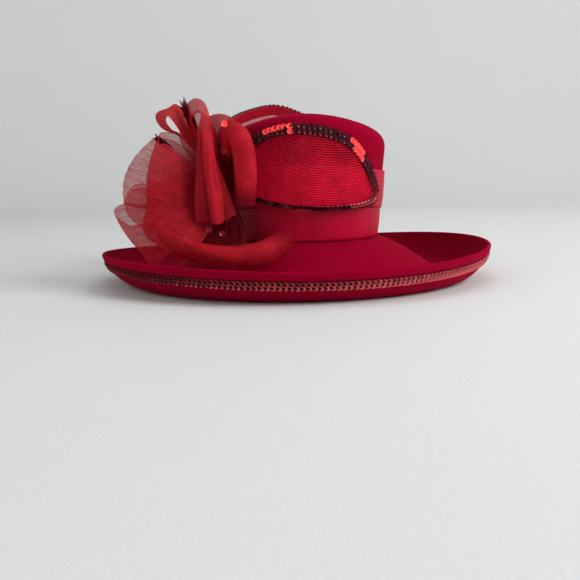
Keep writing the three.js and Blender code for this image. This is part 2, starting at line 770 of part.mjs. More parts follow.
function tubeSolid(rows) {
  const outer = tubeRings(rows, 0, 0);
  const inner = tubeRings(rows, 0, RIBBON.thickness);
  const out = [];
  const skin = (rings, flip) => {
    for (let i = 0; i < rings.length - 1; i += 1) {
      for (let j = 0; j < TUBE.sides; j += 1) {
        const k = (j + 1) % TUBE.sides;
        const face = [rings[i][j], rings[i + 1][j], rings[i + 1][k], rings[i][k]];
        quad(out, ...(flip ? face.reverse() : face));
      }
    }
  };
  skin(outer, false);
  skin(inner, true);
  for (let j = 0; j < TUBE.sides; j += 1) {
    const k = (j + 1) % TUBE.sides;
    const last = TUBE.stations;
    quad(out, outer[0][j], outer[0][k], inner[0][k], inner[0][j]);
    quad(out, outer[last][k], outer[last][j], inner[last][j], inner[last][k]);
  }
  return toManifold(solidFrom(out));
}

// Feather spray: pointed blades fused to a small head beside the knot
const SPRAY = {
  headRadius: 5,
  thickness: 1.2,
  steps: 5,
  azimuth: 200,
  lift: 38,
  tipHalf: 0.3, // half the width of a blade's tip
  rootShare: 0.1, // share of a blade's length that lies before its head end
};

const BLADES = [
  { azimuth: 197, lift: 70, reach: 106, width: 8, bend: -5 },
  { azimuth: 193, lift: 63, reach: 98, width: 7, bend: 6 },
  { azimuth: 200, lift: 43, reach: 92, width: 8, bend: -4 },
  { azimuth: 164, lift: 15, reach: 104, width: 4, bend: 0 },
  { azimuth: 236, lift: 52, reach: 56, width: 7, bend: -3 },
];

function direction(azimuthDegrees, liftDegrees) {
  const [azimuth, lift] = [radians(azimuthDegrees), radians(liftDegrees)];
  return vec(Math.cos(lift) * Math.cos(azimuth), Math.cos(lift) * Math.sin(azimuth), Math.sin(lift));
}

function sprayHead() {
  const away = KNOT.radius + GAP + SPRAY.headRadius;
  return knotCentre().addScaledVector(direction(SPRAY.azimuth, SPRAY.lift), away);
}

function bladeSolid(row, spare) {
  const aim = direction(row.azimuth, row.lift);
  const level = UP.clone().cross(aim).normalize();
  const raised = aim.clone().cross(level);
  const tip = knotCentre().addScaledVector(aim, row.reach);
  const head = sprayHead();
  const grid = Array.from({ length: SPRAY.steps + 1 }, (unused, i) => {
    const t = i / SPRAY.steps;
    const centre = head.clone().lerp(tip, t).addScaledVector(level, row.bend * Math.sin(Math.PI * t));
    const half = SPRAY.tipHalf + spare + row.width * Math.sqrt((t + SPRAY.rootShare) * (1 - t));
    return [centre.clone().addScaledVector(raised, half), centre.clone().addScaledVector(raised, -half)];
  });
  return wallSolid(grid, SPRAY.thickness + 2 * spare);
}

function spraySolid(spare) {
  const ball = new THREE.IcosahedronGeometry(SPRAY.headRadius + spare, 1);
  const head = sprayHead();
  ball.translate(head.x, head.y, head.z);
  const position = ball.attributes.position;
  const corner = (unused, i) => vec(0, 0, 0).fromBufferAttribute(position, i);
  const corners = Array.from({ length: position.count }, corner);
  return Manifold.union([toManifold(solidFrom(corners)), ...BLADES.map((row) => bladeSolid(row, spare))]);
}

// Ribbon pieces in order: each later one gives way to those before it, by the clearance.
function rosettePieces() {
  const thick = RIBBON.thickness + 2 * RIBBON.clearance;
  const strip = (grid) => wallSolid(grid(0), RIBBON.thickness);
  const swollenStrip = (grid) => wallSolid(grid(RIBBON.clearance), thick);
  const swollenTube = (rows) => toManifold(capped(tubeRings(rows, RIBBON.clearance, 0)));
  const piece = (name, grid) => ({ name, solid: strip(grid), room: swollenStrip(grid) });
  const petal = (name) => piece(name, (spare) => petalGrid(name, spare));
  const pieces = [
    petal(HANGING),
    { name: 'side_tube', solid: tubeSolid(SIDE_TUBE), room: swollenTube(SIDE_TUBE) },
    { name: 'low_roll', solid: tubeSolid(LOW_ROLL), room: swollenTube(LOW_ROLL) },
  ];
  const petals = Object.keys(PETALS).filter((name) => name !== HANGING).map(petal);
  const loops = LOOPS.map((row) => piece(row.name, (spare) => loopGrid(row, spare)));
  return [...pieces, ...petals, ...loops];
}

// Closed skin over rings of points, with a fan at each end.
function capped(rings) {
  const out = [];
  const sides = rings[0].length;
  for (let i = 0; i < rings.length - 1; i += 1) {
    for (let j = 0; j < sides; j += 1) {
      const k = (j + 1) % sides;
      quad(out, rings[i][j], rings[i + 1][j], rings[i + 1][k], rings[i][k]);
    }
  }
  const middle = (ring) => ring.reduce((sum, point) => sum.add(point), vec(0, 0, 0)).divideScalar(sides);
  const [first, last] = [rings[0], rings[rings.length - 1]];
  for (let j = 0; j < sides; j += 1) {
    const k = (j + 1) % sides;
    out.push(middle(first), first[j], first[k]);
    out.push(middle(last), last[k], last[j]);
  }
  return solidFrom(out);
}

const group = new THREE.Group();

function addPiece(name, geometry, material) {
  const mesh = new THREE.Mesh(geometry, material);
  mesh.name = name;
  group.add(mesh);
}

addPiece('crown', crownGeometry(), feltMaterial());
addPiece('brim', brimGeometry(), feltMaterial());
addPiece('brim_trim', brimTrimGeometry(), sequinMaterial());
const lowerBand = bandGeometry(BAND_INSIDE.lower, level(BAND.lowerFrom), level(BAND.lowerTo));
addPiece('band_lower', lowerBand, satinMaterial());
const upperBand = bandGeometry(BAND_INSIDE.upper, rising(BAND.upperFrom), rising(BAND.upperTo));
addPiece('band_upper', upperBand, satinMaterial());
addPiece('front_loop', sideLoopGeometry(FRONT_LOOP, -1), crinMaterial());
addPiece('front_loop_trim', sideTrimGeometry(FRONT_LOOP, -1), sequinMaterial());
addPiece('back_loop', sideLoopGeometry(BACK_LOOP, 1), crinMaterial());
addPiece('back_loop_trim', sideTrimGeometry(BACK_LOOP, 1), sequinMaterial());
addPiece('flower_knot', knotGeometry(0), crinMaterial());
addPiece('feather_spray', fromManifold(spraySolid(0)), featherMaterial());

const hatRooms = [crownRoom(), sideLoopRoom(FRONT_LOOP, -1), sideLoopRoom(BACK_LOOP, 1), knotGeometry(GAP)];
let taken = Manifold.union([spraySolid(GAP), ...hatRooms.map(toManifold)]);
rosettePieces().forEach((piece) => {
  const solid = largestBody(piece.solid.subtract(taken).asOriginal().simplify(RIBBON.tolerance));
  taken = taken.add(piece.room);
  addPiece(piece.name, fromManifold(solid), crinMaterial());
});

// The origin is the middle of the whole hat's box, on the floor.
const box = new THREE.Box3().setFromObject(group);
group.position.set(-(box.min.x + box.max.x) / 2, -(box.min.y + box.max.y) / 2, -box.min.z);

export default group;
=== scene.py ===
import logging
import math
import random
from dataclasses import dataclass
from enum import Enum
from typing import Callable, Sequence

import bpy
import numpy as np
from mathutils import Matrix, Vector


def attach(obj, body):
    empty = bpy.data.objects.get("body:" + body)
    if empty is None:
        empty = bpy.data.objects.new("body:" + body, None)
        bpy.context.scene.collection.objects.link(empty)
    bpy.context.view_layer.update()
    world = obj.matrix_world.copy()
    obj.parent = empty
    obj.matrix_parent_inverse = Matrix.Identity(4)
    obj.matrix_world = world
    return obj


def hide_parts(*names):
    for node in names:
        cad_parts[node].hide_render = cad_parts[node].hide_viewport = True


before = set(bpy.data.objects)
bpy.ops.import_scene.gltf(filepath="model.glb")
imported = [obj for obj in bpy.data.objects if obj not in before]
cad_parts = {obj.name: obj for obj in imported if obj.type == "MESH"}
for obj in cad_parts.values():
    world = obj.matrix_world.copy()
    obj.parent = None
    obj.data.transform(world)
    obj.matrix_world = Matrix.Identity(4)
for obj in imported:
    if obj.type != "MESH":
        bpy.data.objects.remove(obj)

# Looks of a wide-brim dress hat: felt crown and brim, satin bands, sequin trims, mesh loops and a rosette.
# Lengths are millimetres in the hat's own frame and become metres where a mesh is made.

Array = np.ndarray
Colour = tuple[float, float, float, float]
Material = bpy.types.Material
Object = bpy.types.Object

MM = 0.001
TURN = 2 * math.pi
UP = np.array([0.0, 0.0, 1.0])
DOUBLES = 0.00002
CLOTH_WALL = 0.5
TAPE_WALL = 0.4
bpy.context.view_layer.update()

logging.basicConfig(level=logging.INFO, format="%(message)s")
log = logging.getLogger("hat")


# Number helpers


def lerp(a: float, b: float, t: float) -> float:
    """Value between a and b at share t."""
    return a + (b - a) * t


def smooth(low: float, high: float, x: Array | float) -> Array | float:
    """Smooth step from 0 at low to 1 at high."""
    t = np.clip((np.asarray(x, float) - low) / (high - low), 0, 1)
    return t * t * (3 - 2 * t)


def unit(v: Array) -> Array:
    """Vectors at length 1, along the last axis."""
    return v / np.maximum(np.linalg.norm(v, axis=-1, keepdims=True), 1e-9)


def aim(azimuth: float, lift: float = 0.0) -> Array:
    """Direction at degrees round from +X and degrees up."""
    around, up = math.radians(azimuth), math.radians(lift)
    return np.array([math.cos(up) * math.cos(around), math.cos(up) * math.sin(around), math.sin(up)])


def circle(count: int) -> Array:
    """Angles at even steps round a full turn."""
    return np.arange(count) * TURN / count


def runs(line: Array) -> Array:
    """Distance along a line at each of its points."""
    return np.concatenate([[0], np.cumsum(np.linalg.norm(np.diff(line, axis=0), axis=1))])


def spaced(run: Array, pitch: float, row: int) -> Array:
    """Distances of sequins along a closed line, with each second row half a step on."""
    count = round(run[-1] / pitch)
    return (np.arange(count) + 0.5 * row) * run[-1] / count % run[-1]


def cross_axes(ahead: Array) -> tuple[Array, Array]:
    """Level direction square to one that leads ahead, and the direction square to both."""
    level = unit(np.cross(UP, ahead))
    return level, np.cross(ahead, level)


def spline(points: Array, count: int, closed: bool = False) -> Array:
    """Points at even distance on a smooth curve through the given ones.

    Args:
        points: rows of values, at least two, that start with a place.
        count: number of points returned.
        closed: whether the curve goes on from the last point to the first.

    Returns:
        An array of count rows.
    """
    given = np.asarray(points, float)
    total = len(given)
    fine = []
    for i in range(total if closed else total - 1):
        near = [(i + k) % total if closed else min(max(i + k, 0), total - 1) for k in (-1, 0, 1, 2)]
        p0, p1, p2, p3 = given[near]
        for t in np.arange(0, 1, 1 / 24):
            a = 2 * p1 + (p2 - p0) * t + (2 * p0 - 5 * p1 + 4 * p2 - p3) * t * t
            fine.append((a + (3 * p1 - p0 - 3 * p2 + p3) * t ** 3) / 2)
    fine.append(given[0] if closed else given[-1])
    line = np.array(fine)
    run = runs(line[:, :3])
    at = np.linspace(0, run[-1], count, endpoint=not closed)
    return np.stack([np.interp(at, run, line[:, k]) for k in range(line.shape[1])], -1)


# Mesh helpers


def activate(obj: Object) -> None:
    """Selects one object and makes it active."""
    bpy.ops.object.select_all(action="DESELECT")
    obj.select_set(True)
    bpy.context.view_layer.objects.active = obj


def linked(name: str, data: bpy.types.ID) -> Object:
    """New object of a mesh, a light or a camera, linked to the scene."""
    obj = bpy.data.objects.new(name, data)
    bpy.context.scene.collection.objects.link(obj)
    return obj


def new_object(name: str, vertices: Array, faces: Sequence[Sequence[int]]) -> Object:
    """Mesh object from millimetre vertices and faces."""
    mesh = bpy.data.meshes.new(name)
    mesh.from_pydata((np.asarray(vertices, float) * MM).tolist(), [], [list(map(int, f)) for f in faces])
    mesh.update()
    return linked(name, mesh)


def grid_faces(rows: int, columns: int, wrap_rows: bool, wrap_columns: bool) -> list[tuple[int, ...]]:
    """Quads of a grid whose points are numbered row by row."""
    faces = []
    for i in range(rows if wrap_rows else rows - 1):
        for j in range(columns if wrap_columns else columns - 1):
            row, below, right = i * columns, (i + 1) % rows * columns, (j + 1) % columns
            faces.append((row + j, row + right, below + right, below + j))
    return faces


def apply_modifier(obj: Object, kind: str, **settings: object) -> None:
    """Adds a modifier with the given settings and applies it."""
    modifier = obj.modifiers.new(kind.lower(), kind)
    for key, value in settings.items():
        setattr(modifier, key, value)
    activate(obj)
    bpy.ops.object.modifier_apply(modifier=modifier.name)


def clean(obj: Object, merge: float = DOUBLES) -> None:
    """Merges doubles and turns all faces outward."""
    activate(obj)
    bpy.ops.object.mode_set(mode="EDIT")
    bpy.ops.mesh.select_all(action="SELECT")
    bpy.ops.mesh.remove_doubles(threshold=merge)
    bpy.ops.mesh.normals_make_consistent(inside=False)
    bpy.ops.object.mode_set(mode="OBJECT")


def soften(obj: Object, degrees: float = 180.0) -> None:
    """Shades an object smooth, keeping edges sharper than the angle."""
    activate(obj)
    if degrees >= 180:
        bpy.ops.object.shade_smooth()
    else:
        bpy.ops.object.shade_smooth_by_angle(angle=math.radians(degrees))


def write(obj: Object, name: str, values: Array) -> None:
    """Stores a vector or one number on each point of a mesh."""
    values = np.asarray(values, np.float32).ravel()
    kind, key = ("FLOAT", "value") if len(values) == len(obj.data.vertices) else ("FLOAT_VECTOR", "vector")
    obj.data.attributes.new(name, kind, "POINT").data.foreach_set(key, values)


def weave(along: Array, across: Array, edge: Array | float) -> Array:
    """A cloth's own coordinates in metres: along, across and distance from an edge, given in millimetres."""
    return np.stack(np.broadcast_arrays(along, across, edge), -1).astype(np.float32) * MM


def skin(name: str, grid: Array, wraps: tuple[bool, bool] = (False, True), merge: float = 0.0,
         wall: float = 0.0, offset: float = 0.0, sharp: float = 180.0, **marks: Array) -> Object:
    """Models a grid of points as a mesh.

    Args:
        name: the piece's name.
        grid: rows of points in millimetres.
        wraps: whether the last row joins the first, and the last column the first.
        merge: distance in metres at which points are merged before the wall is made, or 0 for no merge.
        wall: thickness in millimetres, or 0 where the grid itself is the whole surface.
        offset: -1 for a wall inside the grid, 0 for one on both sides of it.
        sharp: degrees from which an edge stays sharp.
        marks: attributes of the points: weave, painted shade in the folds and deep in the rosette, fraying
        at a cut end with painted shade inside it, and cover for more cloth.

    Returns:
        The object.
    """
    obj = new_object(name, grid.reshape(-1, 3), grid_faces(*grid.shape[:2], *wraps))
    for key, values in marks.items():
        write(obj, key, values)
    if merge:
        clean(obj, merge)
    if wall:
        apply_modifier(obj, "SOLIDIFY", thickness=wall * MM, offset=offset)
        clean(obj)
    soften(obj, sharp)
    return obj


def dress(obj: Object, material: Material, slot: str, *nodes: str) -> None:
    """Gives a piece its finish, its place on the hat and the frame's nodes that it stands for."""
    obj.data.materials.clear()
    obj.data.materials.append(material)
    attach(obj, "root")
    if nodes:
        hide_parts(*nodes)
    log.info("%s: %d faces", obj.name, len(obj.data.polygons))


# Shader helpers


def connect(tree: bpy.types.NodeTree, node: bpy.types.Node, inputs: dict[int | str, object]) -> None:
    """Links a value to each named or numbered input of a node, or sets a constant on it."""
    for key, value in inputs.items():
        if isinstance(value, Value):
            tree.links.new(value.socket, node.inputs[key])
        else:
            node.inputs[key].default_value = value


def arithmetic(operation: str, swap: bool = False) -> Callable[..., "Value"]:
    """Method that makes a math node of a value and another, or with swap of the other and the value."""

    def method(self: "Value", other: "Value | float" = 0.0) -> "Value":
        """Result of the operation."""
        first, second = (other, self) if swap else (self, other)
        return Value.of(self.tree, "Math", {0: first, 1: second}, operation=operation)

    return method


class Value:
    """A shader socket that Python arithmetic can be done on."""

    def __init__(self, tree: bpy.types.NodeTree, socket: bpy.types.NodeSocket) -> None:
        """Wraps a socket of a tree."""
        self.tree = tree
        self.socket = socket

    @classmethod
    def of(cls, tree: bpy.types.NodeTree, kind: str, inputs: dict[int | str, object],
           output: int | str = 0, **settings: str) -> "Value":
        """One output of a new node.

        Args:
            tree: the material's nodes.
            kind: the node's type.
            inputs: socket name or number to a constant or a Value.
            output: the output's name or number.
            settings: the node's own settings.

        Returns:
            The output as a value.
        """
        node = tree.nodes.new("ShaderNode" + kind)
        for key, value in settings.items():
            setattr(node, key, value)
        connect(tree, node, inputs)
        return cls(tree, node.outputs[output])

    __add__ = arithmetic("ADD")
    __sub__ = arithmetic("SUBTRACT")
    __rsub__ = arithmetic("SUBTRACT", swap=True)
    __mul__ = arithmetic("MULTIPLY")
    maximum = arithmetic("MAXIMUM")
    sin = arithmetic("SINE")

    def clamp(self) -> "Value":
        """Value kept between 0 and 1."""
        return Value.of(self.tree, "Clamp", {0: self})

    def ramp(self, low: float, high: float) -> "Value":
        """0 below low, 1 above high and smooth between."""
        return Value.of(self.tree, "MapRange", {0: self, 1: low, 2: high}, interpolation_type="SMOOTHSTEP")


class Shader:
    """A material's node tree with one Principled shader."""

    def __init__(self, name: str) -> None:
        """Starts an empty material with a Principled shader and its output."""
        self.material = bpy.data.materials.new(name)
        self.material.use_nodes = True
        self.tree = self.material.node_tree
        self.tree.nodes.clear()
        output = self.tree.nodes.new("ShaderNodeOutputMaterial")
        self.surface = self.tree.nodes.new("ShaderNodeBsdfPrincipled")
        self.tree.links.new(self.surface.outputs[0], output.inputs[0])

    def place(self) -> Value:
        """Object coordinates."""
        return Value.of(self.tree, "TexCoord", {}, "Object")

    def attribute(self, name: str) -> tuple[Value, ...]:
        """The three components of a stored vector attribute."""
        stored = Value.of(self.tree, "Attribute", {}, "Vector", attribute_name=name)
        return tuple(Value.of(self.tree, "SeparateXYZ", {0: stored}, i) for i in range(3))

    def single(self, name: str) -> Value:
        """A stored single value, 0 where a mesh has none."""
        return Value.of(self.tree, "Attribute", {}, "Fac", attribute_name=name)

    def noise(self, where: Value, scale: float, detail: float, roughness: float) -> Value:
        """Noise of about 0.5 on average."""
        inputs = {"Vector": where, "Scale": scale, "Detail": detail, "Roughness": roughness}
        return Value.of(self.tree, "TexNoise", inputs)

    def cloth_noise(self, x: Value, y: Value, detail: float, roughness: float) -> Value:
        """Noise over a cloth's own coordinates, each scaled before."""
        return self.noise(Value.of(self.tree, "CombineXYZ", {0: x, 1: y}), 1.0, detail, roughness)

    def mix(self, share: Value, a: Colour | Value, b: Colour | Value) -> Value:
        """Colour between a and b."""
        return Value.of(self.tree, "Mix", {0: share, 6: a, 7: b}, 2, data_type="RGBA")

    def finish(self, height: Value, depth: float, **sockets: "Value | float | Colour") -> Material:
        """Completes the material.

        Args:
            height: the surface's small relief.
            depth: how deep it is in metres.
            sockets: values of the shader's sockets, named with underscores for spaces.

        Returns:
            The material.
        """
        sockets["Normal"] = Value.of(self.tree, "Bump", {"Height": height, "Distance": depth})
        connect(self.tree, self.surface, {key.replace("_", " "): value for key, value in sockets.items()})
        return self.material


def linear(red: int, green: int, blue: int) -> Colour:
    """Linear colour with alpha 1 of an sRGB colour given in 0 to 255."""
    shares = (c / 255 for c in (red, green, blue))
    return (*(c / 12.92 if c <= 0.04045 else ((c + 0.055) / 1.055) ** 2.4 for c in shares), 1.0)


# Finishes


@dataclass(frozen=True)
class Felt:
    """Blocked wool felt with a short nap."""

    colour: Colour = linear(147, 0, 37)
    dark: Colour = linear(126, 0, 28)
    sheen: Colour = linear(255, 40, 100)
    grain: float = 1500.0
    mottle: float = 38.0
    nap_depth: float = 0.00025

    def material(self) -> Material:
        """Builds the felt's material."""
        s = Shader("crimson_felt")
        where = s.place()
        nap = s.noise(where, self.grain, 3, 0.65)
        cloud = s.noise(where, self.mottle, 4, 0.6)
        fleck = s.noise(where, self.grain / 3, 2, 0.6)
        share = (cloud.ramp(0.35, 0.68) * 0.32 + fleck.ramp(0.4, 0.7) * 0.35).clamp()
        return s.finish(nap + fleck * 0.8, self.nap_depth, Base_Color=s.mix(share, self.colour, self.dark),
                        Roughness=0.95, Specular_IOR_Level=0.03, Sheen_Weight=0.12, Sheen_Roughness=0.5,
                        Sheen_Tint=self.sheen)


@dataclass(frozen=True)
class Satin:
    """Ribbed satin ribbon, whose ribs run across it."""

    name: str = "crimson_satin"
    colour: Colour = linear(192, 0, 50)
    dark: Colour = linear(146, 0, 26)
    rib: float = 0.0006
    depth: float = 0.00045

    def material(self) -> Material:
        """Builds the satin's material."""
        s = Shader(self.name)
        along, across, edge = s.attribute("weave")
        rib = (along * (TURN / self.rib)).sin()
        creases = s.cloth_noise(along * 26, across * 7, 3, 0.55)
        fine = s.noise(s.place(), 900, 2, 0.6)
        selvage = 1 - edge.ramp(0.0004, 0.0016)
        share = (creases.ramp(0.4, 0.7) * 0.4 + fine * 0.2 + selvage * 0.25).clamp()
        height = rib * 0.12 + creases * 2.2 + selvage * 0.5
        return s.finish(height, self.depth, Base_Color=s.mix(share, self.colour, self.dark),
                        Roughness=fine * 0.12 + 0.4, Specular_IOR_Level=0.12)


class MeshLook(Enum):
    """How a piece of mesh looks: one layer, rolled double, rolled loosely, laid on the crown, or dark as
    painted shade.
    """

    AIRY = "airy"
    ROLLED = "rolled"
    SOFT = "soft"
    LAID = "laid"
    SHADED = "shaded"


@dataclass(frozen=True)
class Weave:
    """Colours and cover of one look of mesh.

    Colours are sRGB from 0 to 255. The cover is alpha between threads and on them. Ribs run across the
    ribbon and streaks along it. Glow is painted light: emission that stands in for light coming through
    the threads from behind and for light in shade.
    """

    colour: tuple[int, int, int]
    deep: tuple[int, int, int]
    low: float
    high: float
    rib: float
    rib_share: float
    streak_share: float
    painted_glow: float
    rim_share: float


WEAVES = {
    MeshLook.AIRY: Weave((198, 38, 50), (132, 4, 20), 0.27, 0.58, 0.0025, 0.18, 0.56, 0.2, 0.7),
    MeshLook.ROLLED: Weave((204, 32, 48), (130, 2, 18), 0.72, 0.95, 0.0026, 0.46, 0.14, 0.08, 0.3),
    MeshLook.SOFT: Weave((204, 34, 50), (138, 4, 20), 0.46, 0.72, 0.0031, 0.34, 0.12, 0.05, 0.0),
    # The laid look's strong bowed ribs in its dark deep colour are partly painted shadow: moiré with its own
    # shadow.
    MeshLook.LAID: Weave((226, 22, 56), (66, 0, 12), 0.12, 0.46, 0.0024, 1.15, 0.0, 0.36, 0.0),
    # The shaded look is a dark copy of the mesh: painted shade for pieces in the rosette's hollow.
    MeshLook.SHADED: Weave((92, 0, 8), (60, 0, 5), 0.75, 0.97, 0.0026, 0.2, 0.2, 0.22, 0.0),
}


@dataclass(frozen=True)
class Crin:
    """Stiff horsehair mesh: a diagonal weave of red threads that one sees through."""

    look: MeshLook
    pitch: float = 0.0011
    streak: float = 0.0021
    depth: float = 0.00018
    shadow: Colour = linear(66, 0, 6)
    rim: Colour = linear(190, 44, 52)

    def ribs(self, s: Shader, along: Value, across: Value, pitch: float) -> Value:
        """Ribs of the weave from 0 to 1.

        Args:
            s: the material's nodes.
            along: distance along the ribbon in metres.
            across: distance across it.
            pitch: distance from rib to rib.

        Returns:
            Long bowed lines on laid mesh, partly its threads and partly painted shadow, the moiré of the mesh
            with its own shadow beneath it; and broken lines that run across the ribbon on all other looks.
        """
        if self.look is MeshLook.LAID:
            bowed = across + along * 0.2 - along * along * 3.0
            waver = s.cloth_noise(along * 30, across * 45, 2, 0.5) * 4
            fade = s.cloth_noise(along * 45, across * 60, 2, 0.5).ramp(0.2, 0.6)
        else:
            bowed = along + across * 0.3
            waver = s.cloth_noise(along * 22, across * 30, 2, 0.5) * 9
            fade = s.cloth_noise(along * 160, across * 260, 3, 0.6).ramp(0.4, 0.62)
        return (bowed * (TURN / pitch) + waver).sin() * 0.5 * fade + 0.5

    def material(self) -> Material:
        """Builds the mesh's material from the cloth's own coordinates."""
        kind = WEAVES[self.look]
        s = Shader("red_mesh_" + self.look.value)
        along, across, edge = s.attribute("weave")
        dip, fray, cover = (s.single(name) for name in ("dip", "fray", "cover"))
        waver = s.cloth_noise(along * 60, across * 60, 2, 0.5) * 2.2
        one, other = ((way * (TURN / self.pitch) + waver).sin() for way in (along + across, along - across))
        threads = one.maximum(other).ramp(-0.2, 0.75)
        streak = (across * (TURN / self.streak) + waver * 1.4).sin() * 0.5 + 0.5
        strand = s.cloth_noise(along * 14, across * 650, 3, 0.6).ramp(0.3, 0.7)
        grain = s.noise(s.place(), 760, 3, 0.6).ramp(0.34, 0.66)
        cloud = s.noise(s.place(), 70, 3, 0.55).ramp(0.3, 0.75)
        selvage = 1 - edge.ramp(0.0007, 0.0015)
        lines = (self.ribs(s, along, across, kind.rib) - 0.5) * kind.rib_share
        lines = lines + (streak * 0.4 + strand * 0.6 - 0.5) * kind.streak_share
        alpha = threads * (kind.high - kind.low) + kind.low + lines * 0.55 + (grain - 0.5) * 0.06
        alpha = alpha + (cloud - 0.5) * 0.08 + dip * 0.3 + cover
        alpha = alpha.maximum(selvage * (1 - fray) * 0.8) * (1 - fray * (strand * 0.35 + 0.55))
        tone = (lines + 0.55 + (cloud - 0.5) * 0.3 + (threads - 0.5) * 0.2 + (grain - 0.5) * 0.14).clamp()
        # Painted shade inside a tube's open end: the threads darken towards a cut end, which also frays.
        thread = s.mix((tone - fray * 0.6).clamp(), linear(*kind.deep), linear(*kind.colour))
        cloth = s.mix(selvage * kind.rim_share, thread, self.rim)
        # Painted shade deep in the rosette and in folds: the colour goes towards the shadow colour.
        colour = s.mix((dip * 1.05).clamp(), cloth, self.shadow)
        height = threads * 0.5 + lines * 2 + grain * 0.4
        # Painted glow: the mesh emits its own colour at the look's glow strength.
        return s.finish(height, self.depth, Base_Color=colour, Roughness=0.55, Specular_IOR_Level=0.07,
                        Alpha=alpha.clamp(), Emission_Color=colour, Emission_Strength=kind.painted_glow)


@dataclass(frozen=True)
class SequinFilm:
    """Glossy dark red cup sequins; some get a painted highlight or painted sheen that makes them look lit."""

    dark: Colour = linear(44, 0, 12)
    deep: Colour = linear(96, 6, 24)
    painted_lit_coral: Colour = linear(196, 70, 74)
    painted_highlight: Colour = linear(255, 66, 66)
    painted_glow: float = 0.27
    dent: float = 0.00006

    def material(self) -> Material:
        """Builds the film; its glint attribute holds each sequin's painted highlight, tone and painted sheen.
        """
        s = Shader("sequin_film")
        glint, tone, pale = s.attribute("glint")
        # Painted highlight and painted sheen (pale): they turn a sequin coral or bright and make it glow.
        base = s.mix(pale, s.mix(tone * 0.7, self.dark, self.deep), self.painted_lit_coral)
        lit = s.mix((pale + glint).clamp(), self.dark, s.mix(glint, self.painted_lit_coral, self.painted_highlight))
        metal = (0.6 - glint * 0.5 - pale * 0.5).clamp()
        return s.finish(s.noise(s.place(), 1300, 2, 0.5), self.dent, Metallic=metal,
                        Base_Color=s.mix(glint, base, self.painted_highlight), Roughness=glint * 0.1 + 0.3,
                        Specular_IOR_Level=0.3, Coat_Weight=pale * 0.5 + 0.1, Coat_Roughness=0.2,
                        Emission_Color=lit, Emission_Strength=self.painted_glow)


@dataclass(frozen=True)
class Quill:
    """Dark maroon feather."""

    colour: Colour = linear(94, 0, 16)
    dark: Colour = linear(52, 0, 9)
    painted_glow: float = 0.14

    def material(self) -> Material:
        """Builds the feather's material."""
        s = Shader("maroon_feather")
        colour = s.mix(s.noise(s.place(), 260, 3, 0.6).ramp(0.35, 0.7), self.colour, self.dark)
        # Painted glow: the feather emits its own colour, so it never goes black in the rosette's shade.
        return s.finish(s.noise(s.place(), 1800, 2, 0.6), 0.0001, Base_Color=colour, Roughness=0.7,
                        Specular_IOR_Level=0.08, Emission_Color=colour, Emission_Strength=self.painted_glow)


@dataclass(frozen=True)
class Paper:
    """Pale studio floor and backdrop."""

    colour: Colour = linear(226, 227, 226)
    shade: Colour = (0.62, 0.62, 0.62, 1.0)

    def material(self) -> Material:
        """Builds the backdrop's material."""
        s = Shader("pale_sweep")
        colour = s.mix(s.noise(s.place(), 6, 3, 0.6) * 0.12, self.colour, self.shade)
        return s.finish(s.noise(s.place(), 320, 3, 0.6), 0.0003, Base_Color=colour, Roughness=0.7)


# Crown and brim


@dataclass(frozen=True)
class Crown:
    """Oval felt crown with a sloping tip."""

    centre_x: float = 10.0
    base_z: float = 46.8
    half_width: float = 81.0
    half_depth: float = 96.0
    flare_x: float = 0.103
    flare_y: float = 0.076
    crest_z: float = 181.0
    arch_x: float = 0.003
    arch_y: float = 0.0006
    shoulder: float = 14.0
    felt: float = 2.4
    dimple: float = 0.35
    around: int = 128

    def wall(self, angle: Array | float, z: Array | float, outside: float = 0.0) -> Array:
        """Points on the wall at angles in radians from +X, heights and a distance outside the felt."""
        rise = np.asarray(z, float) - self.base_z
        x = self.centre_x + (self.half_width + self.flare_x * rise + outside) * np.cos(angle)
        y = (self.half_depth + self.flare_y * rise + outside) * np.sin(angle)
        return np.stack([x, y, np.broadcast_to(z, np.shape(x))], -1)

    def tip(self, x: float, y: float) -> float:
        """Height of the tip over a point in plan."""
        return self.crest_z - self.arch_x * (x - self.centre_x) ** 2 - self.arch_y * y * y

    def line(self, angle: float) -> Array:
        """Profile of the felt's outside at an angle, from its lower edge to the middle of the tip."""
        z = self.crest_z
        for _ in range(6):
            z = self.tip(*self.wall(angle, z)[:2])
        edge = self.wall(angle, z)
        wall_top = self.wall(angle, z - self.shoulder)

        def on_tip(share: float) -> Array:
            """Point of the tip between its middle and its edge."""
            x, y = lerp(self.centre_x, edge[0], share), edge[1] * share
            return np.array([x, y, self.tip(x, y)])

        inner = 1 - self.shoulder / math.hypot(edge[0] - self.centre_x, edge[1])
        tip_end = on_tip(inner)
        rows = [self.wall(angle, lerp(self.base_z, wall_top[2], t)) for t in np.linspace(0, 1, 9)[:-1]]
        rows += [lerp(lerp(wall_top, edge, t), lerp(edge, tip_end, t), t) for t in np.linspace(0, 1, 9)]
        rows += [on_tip(inner * share) for share in np.linspace(1, 0, 12)[1:]]
        return np.array(rows)

    def dimples(self, x: Array, y: Array, z: Array) -> Array:
        """Heights of the small uneven places that hand-blocked felt keeps near its tip."""
        wave = np.sin(x / 23 + 1.3) * np.sin(y / 31) + 0.6 * np.sin((x + z) / 17) * np.cos(y / 19)
        return -self.dimple * wave * smooth(120, 165, z)

    def build(self, felt: Material) -> None:
        """Models the crown as a shell of felt."""
        grid = np.array([self.line(a) for a in circle(self.around)])
        grid[..., 2] += self.dimples(*np.moveaxis(grid, -1, 0))
        obj = skin("crown_felt", grid, (True, False), merge=0.0001, wall=self.felt, offset=-1.0, sharp=50)
        dress(obj, felt, "felt", "crown")


